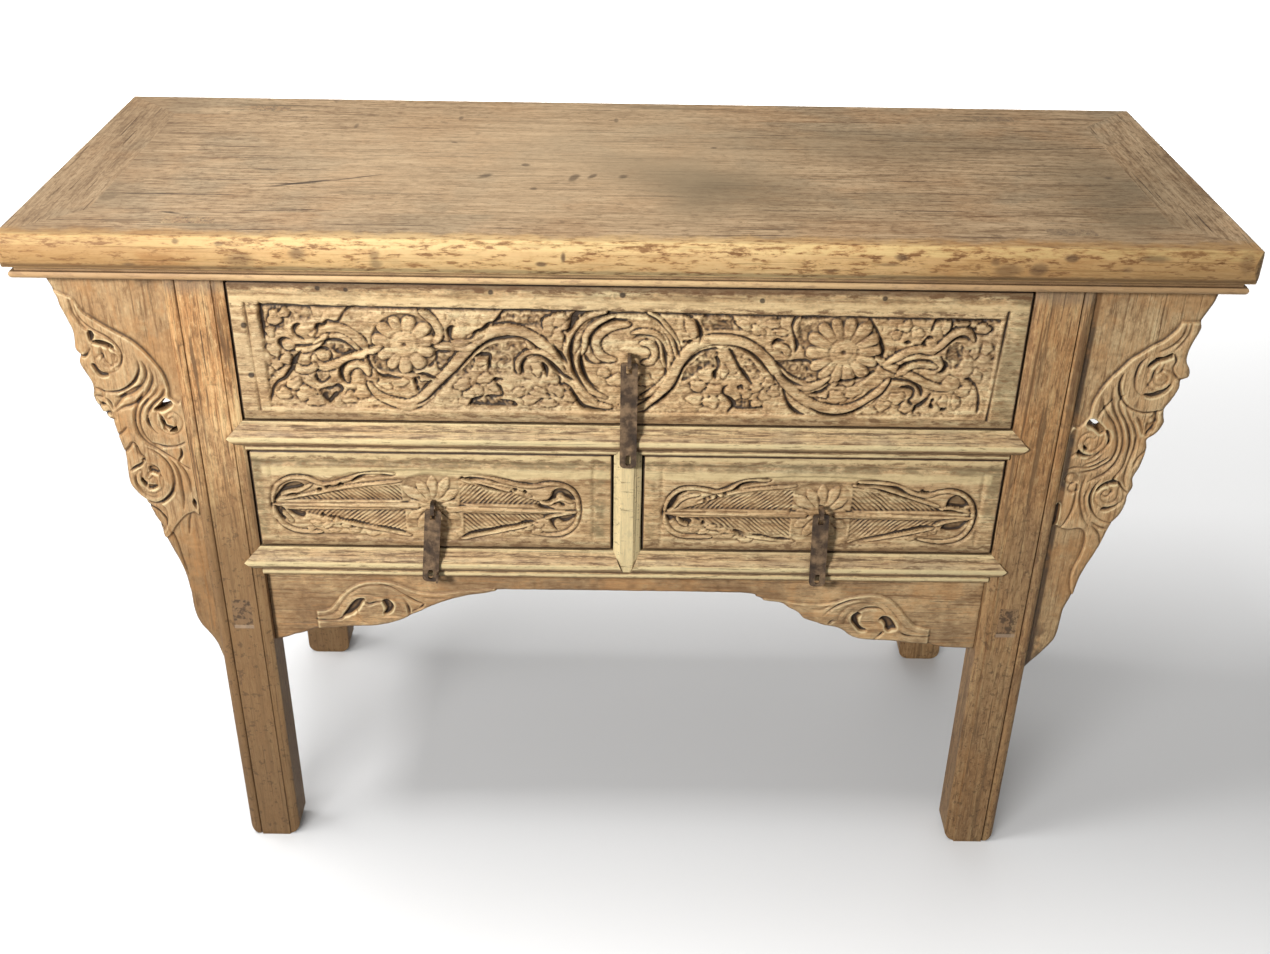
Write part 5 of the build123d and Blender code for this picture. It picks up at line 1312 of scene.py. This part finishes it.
LEFT_EDGE = (-629, 813.5, -617, 785, -614, 771, -606, 743, -607, 722, -603, 714, -605, 703, -596, 679,
             -597, 659, -586, 636, -581, 633, -578, 611, -574, 587, -575, 567, -574, 547, -561, 525,
             -549, 488, -544, 469, -532, 430, -528, 399, -527, 367, -522, 347, -508, 322, -500.5, 293)
RIGHT_EDGE = (632, 813.5, 631, 797, 622, 776, 620, 770, 621, 763, 616, 747, 613, 733, 614, 723, 619, 714,
              619.5, 705, 612, 700, 612, 691, 607, 677, 601, 665, 602, 655, 604, 648, 602, 640, 597, 632,
              589, 625, 591, 612, 588, 590, 583, 574, 585, 562, 581, 550, 581, 540, 577, 524, 570, 513,
              566, 500, 561, 480, 554, 460, 547, 440, 543.5, 422, 541, 405, 535, 385, 534, 368, 533, 348,
              530, 336, 518, 317, 507, 303, 500.5, 293)

LEFT_HOLES = (
    (-531, 646, -526, 645, -516, 649, -511.5, 655, -517, 660.5, -525, 652),
    (-519, 619.5, -510, 620, -509.5, 627, -515, 623),
    (-586, 731, -576, 731, -568, 728, -565.5, 722.5, -572, 725, -582, 727.5),
)
RIGHT_HOLES = (
    (518.5, 648, 524, 650, 532, 644.5, 538.5, 636.5, 534, 633, 527, 638.5, 518, 643),
    (580, 724.5, 578, 729, 587, 730.5, 595, 735, 597, 731.5, 590, 726),
)


def wing_grid(edge):
    """Grid from the leg out to the scrolled edge."""
    side = 1 if edge[0] > 0 else -1
    line = line_through(edge, spacing=1.0)
    order = np.argsort(line[:, 1])
    z = even(WING_LOW, WING_HIGH)
    outer = np.interp(z, line[order, 1], line[order, 0])
    share = even(0.0, 1.0, GRID / 125.0)
    x = side * WING_INNER + (outer[:, None] - side * WING_INNER) * share
    grid_z = np.repeat(z[:, None], share.size, axis=1)
    if side < 0:
        x = x[:, ::-1]
    return x.copy(), grid_z


def wing_piece(node, edge, holes, carving):
    """Carved and pierced wing in the place of its node."""
    x, z = wing_grid(edge)
    relief = Relief(x, z)
    relief.height[:] = PLAIN
    carve_wing(relief, **carving)
    relief.soften()
    rim = line_through(edge)
    hit, gap, side, where = relief.nearest(rim, 5.0)
    relief.height[hit] -= 2.4 * (1.0 - gap / 5.0) ** 2
    relief.ripple(10.0, 0.35, 11)
    relief.ripple(3.5, 0.15, 12)
    relief.height = np.clip(relief.height, -13.0, 0.0)
    mesh = carved_mesh(node + "_carving", relief, WING_FRONT, WING_BACK,
                       relief.hollow(max(2, int(4.5 / GRID)), 8.0))
    piece = put_in_place(node + "_carved", mesh, node, wood_of("carved", "z"))
    pierce(piece, holes)


def pierce(piece, holes):
    """Cut small openings right through a carved piece."""
    ahead, behind = WING_FRONT - 15.0, WING_BACK + 16.0
    cutter = bmesh.new()
    for flat in holes:
        line = line_through(flat, closed=True, spacing=1.6)[:-1]
        if np.sum(line[:, 0] * np.roll(line[:, 1], -1) - line[:, 1] * np.roll(line[:, 0], -1)) < 0:
            line = line[::-1]
        near = [cutter.verts.new((x * MM, ahead * MM, z * MM)) for x, z in line]
        far = [cutter.verts.new((x * MM, behind * MM, z * MM)) for x, z in line]
        cutter.faces.new(near)
        cutter.faces.new(far[::-1])
        for k in range(len(near)):
            cutter.faces.new((near[k], far[k], far[k - 1], near[k - 1]))
    bmesh.ops.recalc_face_normals(cutter, faces=cutter.faces[:])
    mesh = bpy.data.meshes.new("cutter")
    cutter.to_mesh(mesh)
    cutter.free()
    tool = bpy.data.objects.new("cutter", mesh)
    bpy.context.scene.collection.objects.link(tool)
    cut = piece.modifiers.new("openings", "BOOLEAN")
    cut.operation = "DIFFERENCE"
    cut.solver = "EXACT"
    cut.object = tool
    graph = bpy.context.evaluated_depsgraph_get()
    done = bpy.data.meshes.new_from_object(piece.evaluated_get(graph))
    piece.modifiers.clear()
    piece.data = done
    bpy.data.objects.remove(tool)


def raised_band(relief, curve, corners):
    """The carved part of a wing, raised: smooth along its inner line, straight between its far corners."""
    flat = line_through(curve).ravel().tolist() + list(corners)
    relief.area(flat, -0.3, 2.2, smooth_line=False)


def carve_wing(relief, band, corners, sunk, knobs, beads, volutes, cuts, creases, ledges):
    """Leaves and scrolls on a raised band, from the sunken pockets up to the last cuts."""
    raised_band(relief, band, corners)
    for level, wall, points in sunk:
        relief.area(points, level, wall)
    for x, z, radius, level, drop in knobs:
        relief.knob(x, z, radius, level, drop)
    ring_width = 2.0
    for x, z, radius, level, ring in beads:
        relief.height[np.hypot(relief.x - x, relief.z - z) < radius + ring_width] -= ring
        relief.knob(x, z, radius, level, 2.0)
    for points in volutes:
        relief.ribbon(points, 5.5, 0.0, 2.2)
    for width, depth, points in cuts:
        relief.cut(points, width, depth)
    for width, depth, points in creases:
        relief.crease(points, width, 1.5 * depth)
    for fall, side, points in ledges:
        relief.ledge(points, 1.6, fall, side)


# Sunken areas: level, width of the wall and outline. Knobs: x, z, radius, level and drop.
# Beads: x, z, radius, level and depth of the ring cut around them. Ledges: fall, side and line.
LEFT_CARVING = dict(
    band=(-604, 784, -600, 782, -593, 768, -585, 760, -575, 752, -560, 742, -545, 732, -532, 718, -522, 703,
          -516, 690, -513, 675, -513, 662, -505, 655, -499, 645, -499, 520, -507, 512, -516, 508, -524, 500,
          -532, 490, -540, 478, -552, 470),
    corners=(-640, 470, -640, 800),
    sunk=(
        (-6.0, 3.0, (-590, 741, -586, 743, -584, 739, -586, 733, -589, 731)),
        (-6.5, 3.0, (-588, 730, -580, 732, -570, 729, -565, 724, -568, 722, -575, 725, -584, 728)),
        (-5.5, 3.0, (-592, 703, -589, 703, -586, 697, -581, 693, -576, 692, -577, 689, -583, 688,
                     -588, 692)),
        (-7.0, 3.0, (-532, 647, -526, 653, -518, 661, -511, 655, -516, 649, -525, 645)),
        (-5.5, 3.0, (-527, 634, -524, 636, -521, 628, -514, 625, -511, 620, -519, 618, -525, 623)),
        (-7.0, 2.5, (-563, 552, -559, 557, -555, 552, -557, 546, -560, 542, -564, 547)),
        (-4.5, 3.0, (-549, 573, -541, 572, -539, 565, -545, 563, -549, 567)),
        (-4.0, 2.5, (-555, 548, -542, 547, -543, 541, -552, 541)),
        (-3.2, 3.0, (-564, 527, -550, 523, -540, 518, -538, 505, -541, 492, -548, 483, -556, 500)),
    ),
    knobs=(
        (-577, 710, 14, 0.0, 2.0),
        (-518, 638, 9, -0.5, 2.5),
        (-552, 558, 8, -0.6, 2.0),
        (-507, 592, 5, -0.4, 2.0),
        (-507, 578, 5.5, -0.4, 2.0),
    ),
    beads=(
        (-590, 668, 5, -0.6, 1.5),
        (-592, 657, 6, -0.6, 1.5),
        (-588, 646, 6, -0.6, 1.5),
        (-582, 638, 5, -0.6, 1.5),
    ),
    volutes=(
        (-570, 722, -563, 713, -564, 703, -572, 697, -581, 700, -584, 708, -579, 714),
        (-529, 642, -528, 628, -519, 619, -509, 623, -506, 633, -512, 641, -519, 637),
        (-560, 567, -564, 555, -559, 543, -550, 540, -541, 546, -540, 557, -547, 563, -553, 557),
    ),
    cuts=(
        (3.5, 4.5, (-542, 713, -541, 700, -544, 690, -550, 681, -560, 673, -570, 669.5, -585, 670,
                    -594, 675)),
        (3.0, 4.0, (-604, 714, -598, 713, -594, 717, -590, 723)),
        (3.5, 4.0, (-541, 640, -541, 630, -537, 621, -532, 616)),
        (3.5, 4.5, (-573, 566, -566, 571, -558, 576, -554, 581, -554, 586)),
        (3.0, 4.0, (-540, 604, -528, 600, -518, 600, -510, 602, -503, 606)),
        (3.0, 4.0, (-509, 598, -510, 588, -514, 580, -508, 574, -502, 570)),
        (3.5, 4.5, (-574, 545, -570, 536, -560, 527, -548, 523, -538, 528, -529, 538, -525, 550)),
        (4.5, 6.0, (-504, 530, -504, 523, -503, 516)),
        (3.0, 3.5, (-526, 640, -523, 632, -524, 624, -519, 618)),
        (3.5, 3.5, (-594, 660, -590, 655, -585, 652)),
        (3.0, 3.0, (-586, 664, -580, 656, -577, 646)),
        (3.5, 4.5, (-552, 582, -556, 582)),
        (3.0, 3.0, (-590, 640, -584, 643, -580, 640)),
        (2.6, 2.6, (-556, 505, -551, 495, -545, 486)),
        (2.6, 2.6, (-548, 512, -541, 500, -541, 490)),
    ),
    creases=(
        (6.0, 2.2, (-603, 781, -602, 766, -597, 754, -591, 746, -586, 741)),
        (6.0, 2.4, (-600, 781, -599, 768, -595, 757, -586, 747, -572, 738, -563, 729, -558, 719, -558, 710,
                    -562, 702, -570, 697)),
        (6.0, 2.0, (-579, 725, -579, 715, -575, 706, -570, 701)),
        (5.0, 1.6, (-566, 717, -562, 710, -566, 703)),
        (8.0, 2.8, (-537, 708, -534, 697, -536, 686, -542, 677, -551, 669, -562, 664, -573, 661)),
        (8.0, 2.8, (-530, 701, -528, 689, -531, 678, -537, 668, -546, 659, -556, 653, -566, 650,
                    -576, 643)),
        (8.0, 2.6, (-543, 677, -552, 672, -561, 667, -568, 659, -576, 648)),
        (8.0, 3.0, (-540, 670, -548, 657, -554, 642, -556, 627, -553, 613, -546, 603, -536, 596, -525, 588,
                    -514, 580)),
        (7.0, 3.0, (-536, 662, -545, 650, -550, 638, -551, 625, -548, 612, -541, 603, -530, 597)),
        (7.0, 3.0, (-516, 674, -522, 663, -531, 655, -538, 646, -541, 638)),
        (6.0, 2.0, (-522, 678, -528, 668, -536, 660, -543, 652)),
        (6.0, 2.2, (-580, 612, -572, 618, -566, 625)),
        (6.0, 2.4, (-576, 590, -568, 598, -563, 604, -558, 597)),
        (7.0, 2.6, (-560, 600, -557, 590, -552, 584)),
        (7.0, 2.8, (-548, 598, -537, 590, -528, 578, -524, 565, -524, 550, -528, 538, -535, 529,
                    -546, 520)),
        (7.0, 2.6, (-525, 585, -519, 573, -516, 560, -516, 547, -516, 530, -518, 515)),
        (6.0, 2.4, (-516, 580, -509, 566, -506, 552, -506, 538)),
        (5.0, 1.6, (-552, 577, -544, 574, -539, 567, -538, 557)),
        (5.0, 1.8, (-567, 560, -567, 548, -561, 537, -551, 532, -541, 536)),
        (6.0, 1.8, (-541, 494, -537, 482, -533, 467, -531, 452, -529, 436, -526, 420)),
        (5.0, 1.4, (-511, 510, -515, 495, -517, 480)),
        (5.0, 2.0, (-562, 520, -552, 515, -545, 508)),
    ),
    ledges=(
        (7.0, -1, (-513, 660, -513, 675, -516, 690, -522, 703, -532, 718, -545, 732, -560, 742, -575, 752,
                   -588, 763)),
    ),
)

RIGHT_CARVING = dict(
    band=(599, 771, 596, 763, 590, 755, 583, 748, 573, 742, 562, 733, 552, 725, 543, 713, 535, 703,
          529, 693, 523, 680, 520, 668, 519, 653, 510, 640, 499, 630, 499, 520, 506, 508, 520, 503,
          532, 505, 540, 500, 543, 490, 543, 478, 541, 465, 537, 450, 535, 437, 537, 420, 541, 408),
    corners=(560, 400, 640, 400, 640, 771),
    sunk=(
        (-6.5, 3.0, (572, 716, 574, 722, 580, 727, 588, 729, 595, 733, 597, 730, 590, 726, 583, 723,
                     577, 719)),
        (-5.5, 3.0, (574, 683, 582, 684, 590, 687, 596, 692, 600, 697, 602, 693, 598, 686, 591, 681,
                     582, 679)),
        (-7.0, 3.0, (518, 646, 521, 650, 527, 649, 535, 642, 539, 636, 535, 632, 527, 638, 519, 642)),
        (-6.5, 3.0, (513, 606, 517, 613, 524, 618, 523, 608, 529, 604, 521, 602)),
        (-6.5, 2.6, (544, 556, 546, 562, 553, 568, 562, 571, 566, 567, 558, 565, 551, 560)),
        (-4.5, 2.6, (553, 531, 559, 535, 566, 539, 570, 543, 571, 537, 566, 532, 559, 529)),
        (-6.0, 2.6, (500, 536, 504, 537, 505, 523, 504, 510, 500, 508)),
        (-3.0, 2.6, (592, 662, 596, 655, 594, 640, 587, 630, 584, 645)),
    ),
    knobs=(
        (588, 707, 14, 0.0, 2.0),
        (527, 622, 10, -0.4, 2.2),
        (559, 552, 9, -0.4, 2.0),
    ),
    beads=(
        (598, 655, 5.5, -0.4, 0.0),
        (598, 644, 5.5, -0.4, 0.0),
        (593, 633, 5.0, -0.4, 0.0),
        (588, 650, 4.0, -0.4, 0.0),
        (512, 573, 6, -0.8, 2.0),
        (516, 560, 5, -0.8, 2.0),
    ),
    volutes=(
        (583, 722, 577, 712, 577, 701, 583, 693, 592, 691, 599, 698, 598, 707, 590, 712),
        (541, 634, 542, 621, 536, 610, 527, 606, 518, 610, 515, 621, 521, 630, 529, 628),
        (571, 560, 573, 548, 567, 539, 557, 537, 548, 543, 547, 554, 554, 561, 561, 556),
    ),
    cuts=(
        (3.5, 4.5, (547, 709, 545, 697, 547, 685, 552, 675, 560, 667, 570, 662, 580, 660, 591, 661,
                    600, 664)),
        (3.0, 3.5, (571, 731, 564, 722, 561, 712, 561, 700, 563, 690, 568, 684, 575, 680)),
        (3.0, 4.0, (598, 734, 602, 725, 600, 715, 607, 704, 613, 700)),
        (3.5, 4.0, (541, 637, 546, 628, 546, 618)),
        (3.0, 4.0, (560, 571, 562, 577, 560, 570)),
        (3.5, 4.0, (546, 572, 540, 560, 538, 548, 541, 535, 547, 524, 555, 517, 566, 513, 574, 512)),
        (3.0, 3.5, (505, 585, 515, 588, 530, 588, 542, 594, 551, 603)),
        (3.0, 3.0, (592, 662, 594, 652, 592, 641, 586, 632)),
        (3.0, 4.0, (566, 570, 572, 562, 580, 554)),
    ),
    creases=(
        (6.0, 2.2, (605, 771, 604, 758, 599, 748, 590, 740, 580, 735)),
        (6.0, 2.0, (610, 771, 609, 757, 604, 746, 597, 737)),
        (5.0, 1.8, (580, 715, 580, 704, 577, 695, 574, 690)),
        (5.0, 1.6, (590, 722, 588, 712, 582, 706)),
        (8.0, 2.8, (539, 692, 540, 677, 545, 663, 552, 650, 558, 638, 562, 625, 563, 610, 560, 596,
                    554, 585, 545, 577, 530, 568)),
        (8.0, 2.8, (530, 678, 533, 666, 540, 655, 548, 645, 554, 632, 557, 620, 557, 608, 553, 597,
                    545, 590, 535, 584, 518, 580)),
        (8.0, 3.0, (553, 683, 549, 672, 553, 660, 561, 648, 567, 635, 571, 620, 571, 605, 569, 590,
                    563, 578)),
        (7.0, 2.6, (557, 669, 563, 655, 571, 642, 576, 629, 577, 614, 575, 600, 573, 586, 573, 572,
                    577, 560)),
        (7.0, 2.2, (572, 655, 578, 645, 584, 632)),
        (6.0, 2.2, (541, 676, 536, 668, 530, 658, 528, 650)),
        (5.0, 1.8, (522, 590, 535, 596, 543, 605)),
        (5.0, 1.6, (524, 597, 534, 602, 539, 611)),
        (7.0, 2.4, (528, 575, 526, 560, 527, 545, 531, 530, 536, 517, 543, 507)),
        (6.0, 2.2, (520, 565, 521, 545, 520, 530, 516, 515, 510, 504)),
        (6.0, 2.0, (534, 560, 532, 547, 535, 533, 540, 520)),
        (5.0, 1.8, (549, 553, 556, 549, 561, 555, 557, 562)),
        (6.0, 2.2, (546, 509, 552, 503, 558, 495, 561, 484)),
        (6.0, 2.2, (545, 514, 555, 507, 566, 504)),
        (5.0, 1.6, (505, 600, 512, 606, 518, 600)),
        (6.0, 2.0, (590, 610, 583, 600, 580, 588)),
    ),
    ledges=(
        (7.0, 1, (519, 655, 520, 668, 523, 680, 529, 693, 535, 703, 543, 713, 552, 725, 562, 733, 573, 742,
                  583, 748, 590, 755, 596, 763, 599, 771)),
        (6.0, -1, (540, 502, 543, 490, 543, 478, 541, 465, 537, 450, 535, 437, 537, 420, 541, 408)),
    ),
)

wing_piece("wing_left", LEFT_EDGE, LEFT_HOLES, LEFT_CARVING)
wing_piece("wing_right", RIGHT_EDGE, RIGHT_HOLES, RIGHT_CARVING)


# ------------------------------------------------------------------ apron
APRON_FRONT = -210.0
APRON_BACK = -193.0
APRON_PLAIN = -3.0     # the uncarved middle lies this far below the top of the carving
APRON_EDGE = (-435.5, 317, -424, 320, -411, 325, -400, 328, -390, 332, -381, 336, -360, 338, -345, 340,
              -325, 341, -310, 342, -295, 345, -280, 350, -270, 355, -262, 360, -250, 366, -240, 372,
              -222, 380, -205, 386, -190, 390, -172, 393, -160, 396, -140, 397, 0, 397, 140, 396, 160, 391,
              170, 387, 190, 384, 200, 377, 212, 370, 220, 361, 235, 355, 245, 351, 260, 348, 270, 343,
              278, 336, 290, 331, 305, 329, 330, 328, 345, 326, 365, 324, 378, 323, 388, 319, 400, 317,
              435.5, 315.5)


def carve_apron():
    """A raised band with a scroll on either side of the plain middle."""
    low, high = box_mm("apron_front")
    line = line_through(APRON_EDGE, spacing=1.0)
    left = even(low[0], -130, GRID)
    middle = even(-130, 130, 6.0)[1:-1]
    right = even(130, high[0], GRID)
    x = np.concatenate([left, middle, right])
    lower = np.maximum(np.interp(x, line[:, 0], line[:, 1]), low[2])
    share = even(0.0, 1.0, GRID / 95.0)[:, None]
    grid_x = np.repeat(x[None, :], share.size, axis=0)
    relief = Relief(grid_x, lower[None, :] + (high[2] - lower[None, :]) * share)
    relief.height[:] = APRON_PLAIN
    left_band = (-380, 330, -380, 363, -370, 364, -363, 367, -357, 374, -350, 384, -343, 392, -335, 399,
                 -325, 405, -315, 408, -300, 409, -285, 407, -275, 403, -265, 398, -255, 394, -245, 392,
                 -235, 391, -220, 392, -205, 395, -190, 397, -160, 400, -150, 380, -250, 340)
    right_band = (377, 310, 377, 346, 368, 348, 358, 351, 352, 357, 345, 365, 338, 375, 330, 384, 322, 391,
                  312, 396, 300, 398, 285, 396, 272, 392, 260, 387, 250, 384, 238, 382, 225, 382, 212, 384,
                  195, 387, 170, 389, 150, 380, 250, 320)
    for band in (left_band, right_band):
        relief.area(band, -0.2, 2.0, smooth_line=False)
    pockets = (
        (-347, 357, -341, 367, -334, 377, -327, 382, -320, 382, -324, 375, -328, 368, -334, 362, -340, 358),
        (-297, 380, -290, 380, -285, 372, -288, 364, -294, 359, -297, 361, -294, 367, -296, 374),
        (279, 358, 280, 366, 286, 370, 289, 368, 286, 362, 288, 356, 292, 350, 298, 344, 291, 343,
         284, 350),
        (313, 360, 317, 365, 325, 363, 331, 356, 335, 347, 330, 345, 326, 343, 322, 347, 321, 353,
         316, 359),
    )
    for points in pockets:
        relief.area(points, -7.0, 3.4)
    relief.knob(-311, 367, 14, 0.0, 1.8)
    relief.knob(300, 358, 13, 0.0, 1.8)
    cuts = (
        (3.0, (-382, 350, -362, 350, -350, 353, -345, 360)),
        (3.0, (-322, 381, -315, 375, -305, 378, -297, 380)),
        (3.0, (-273, 385, -268, 375, -266, 365, -266, 357)),
        (3.0, (-300, 405, -285, 400, -272, 391, -258, 381, -247, 376)),
        (3.0, (-262, 365, -252, 370, -247, 376)),
        (3.0, (379, 335, 365, 335, 352, 336, 345, 338, 339, 343)),
        (3.0, (243, 364, 248, 371, 257, 379, 267, 385, 280, 390, 295, 391)),
        (3.0, (320, 343, 314, 335, 309, 330)),
        (3.0, (281, 366, 287, 373, 296, 378, 310, 378, 318, 373, 322, 366)),
        (2.6, (250, 353, 256, 358, 262, 356)),
    )
    for width, points in cuts:
        relief.cut(points, width, 3.4)
    creases = (
        (-382, 356, -368, 357, -358, 361, -350, 372, -342, 384, -333, 393, -322, 400, -308, 403, -290, 402),
        (-343, 378, -338, 384, -328, 388, -316, 389, -303, 386, -293, 383, -283, 381, -276, 372, -274, 362),
        (-330, 366, -328, 354, -320, 346),
        (-300, 356, -285, 358, -272, 356),
        (-250, 386, -235, 384, -220, 385),
        (377, 340, 362, 341, 350, 346, 341, 355, 333, 366, 325, 376, 315, 385, 303, 391),
        (262, 356, 263, 366, 269, 376, 278, 382, 290, 385, 304, 384),
        (270, 352, 272, 364, 278, 373),
        (225, 375, 240, 375, 252, 381),
    )
    for points in creases:
        relief.crease(points, 6.0, 2.0)
    relief.soften()
    hit, gap, side, where = relief.nearest(line_through(APRON_EDGE), 4.0)
    relief.height[hit] -= 1.8 * (1.0 - gap / 4.0) ** 2
    relief.ripple(9.0, 0.3, 21)
    relief.ripple(3.5, 0.15, 22)
    relief.height = np.clip(relief.height, -9.5, 0.0)
    mesh = carved_mesh("apron_carving", relief, APRON_FRONT, APRON_BACK,
                       relief.hollow(max(2, int(4.0 / GRID)), 9.0))
    put_in_place("apron_carved", mesh, "apron_front", wood_of("carved", "x"))


carve_apron()


# ------------------------------------------------------------------ studio
def make_camera():
    """Camera in front of the table, a little below the eyes of someone who stands, looking down at it."""
    focal_px = 1445.6
    frame_px = 1270.0
    pitch, yaw, roll = (math.radians(v) for v in (30.9707, 0.5070, -0.9980))
    data = bpy.data.cameras.new("camera")
    data.sensor_width = 36.0
    data.lens = 36.0 * focal_px / frame_px
    camera = bpy.data.objects.new("camera", data)
    forward = Vector((math.sin(yaw) * math.cos(pitch), math.cos(yaw) * math.cos(pitch), -math.sin(pitch)))
    right = Vector((math.cos(yaw), -math.sin(yaw), 0.0))
    down = forward.cross(right)
    x_axis = right * math.cos(roll) + down * math.sin(roll)
    y_axis = -(down * math.cos(roll) - right * math.sin(roll))
    stand = Matrix.Translation((-0.00424, -1.64783, 1.42494))
    camera.matrix_world = stand @ Matrix((x_axis, y_axis, -forward)).transposed().to_4x4()
    bpy.context.scene.collection.objects.link(camera)
    bpy.context.scene.camera = camera


def area_light(name, place, target, size, power, tone, floor, floor_only):
    """A soft rectangular light, for the floor alone or for everything but the floor."""
    data = bpy.data.lights.new(name, "AREA")
    data.shape = "RECTANGLE"
    data.size, data.size_y = size
    data.energy = power
    data.color = tone
    light = bpy.data.objects.new(name, data)
    light.location = place
    light.rotation_euler = (Vector(target) - Vector(place)).to_track_quat("-Z", "Y").to_euler()
    bpy.context.scene.collection.objects.link(light)
    lit = bpy.data.collections.new(name + "_lights")
    lit.objects.link(floor)
    lit.collection_objects[0].light_linking.link_state = "INCLUDE" if floor_only else "EXCLUDE"
    light.light_linking.receiver_collection = lit


def make_studio():
    """A pale floor and soft lights: some light the table alone, the others the floor alone."""
    mesh = bpy.data.meshes.new("floor")
    side = 14.0
    mesh.from_pydata([(-side, -side, 0), (side, -side, 0), (side, side, 0), (-side, side, 0)], [],
                     [(0, 1, 2, 3)])
    floor = bpy.data.objects.new("floor", mesh)
    bpy.context.scene.collection.objects.link(floor)
    floor.visible_diffuse = False
    tree = Tree(bpy.data.materials.new("pale_floor"))
    tree.shader.inputs["Base Color"].default_value = (0.63, 0.63, 0.63, 1.0)
    tree.shader.inputs["Roughness"].default_value = 0.9
    tree.shader.inputs["Specular IOR Level"].default_value = 0.1
    mesh.materials.append(tree.owner)
    make_world()
    bpy.context.scene.view_settings.view_transform = "Standard"
    warm = (1.0, 0.97, 0.92)
    white = (1.0, 1.0, 1.0)
    area_light("key", (-1.05, -1.75, 1.60), (0.0, -0.2, 0.65), (0.35, 0.35), 44.0, warm, floor, False)
    area_light("top_light", (-0.9, 0.7, 2.3), (0.0, 0.0, 0.865), (1.0, 1.0), 13.0, warm, floor, False)
    area_light("floor_light", (-1.5, -0.17, 3.69), (-1.2, -0.17, 0.0), (1.7, 1.7), 175.0, white, floor,
               True)
    area_light("floor_fill", (-1.0, -2.4, 1.7), (-0.3, 0.0, 0.0), (1.5, 1.5), 74.0, white, floor, True)
    area_light("back", (0.0, 5.0, 2.6), (0.0, 4.5, 0.0), (9.0, 4.0), 500.0, white, floor, True)
    bpy.data.lights["back"].spread = math.radians(104)


def make_world():
    """Soft studio light, stronger from above than from the sides."""
    tree = Tree(bpy.data.worlds.new("studio"), "Background")
    up = tree.part(tree.node("ShaderNodeTexCoord", output="Generated"), "z")
    values = {"Value": up, "From Min": -0.2, "To Min": 0.08, "To Max": 0.42}
    tree.put(tree.shader.inputs["Color"], (1.0, 0.99, 0.97, 1.0))
    tree.put(tree.shader.inputs["Strength"], tree.node("ShaderNodeMapRange", None, values))
    bpy.context.scene.world = tree.owner


make_camera()
make_studio()
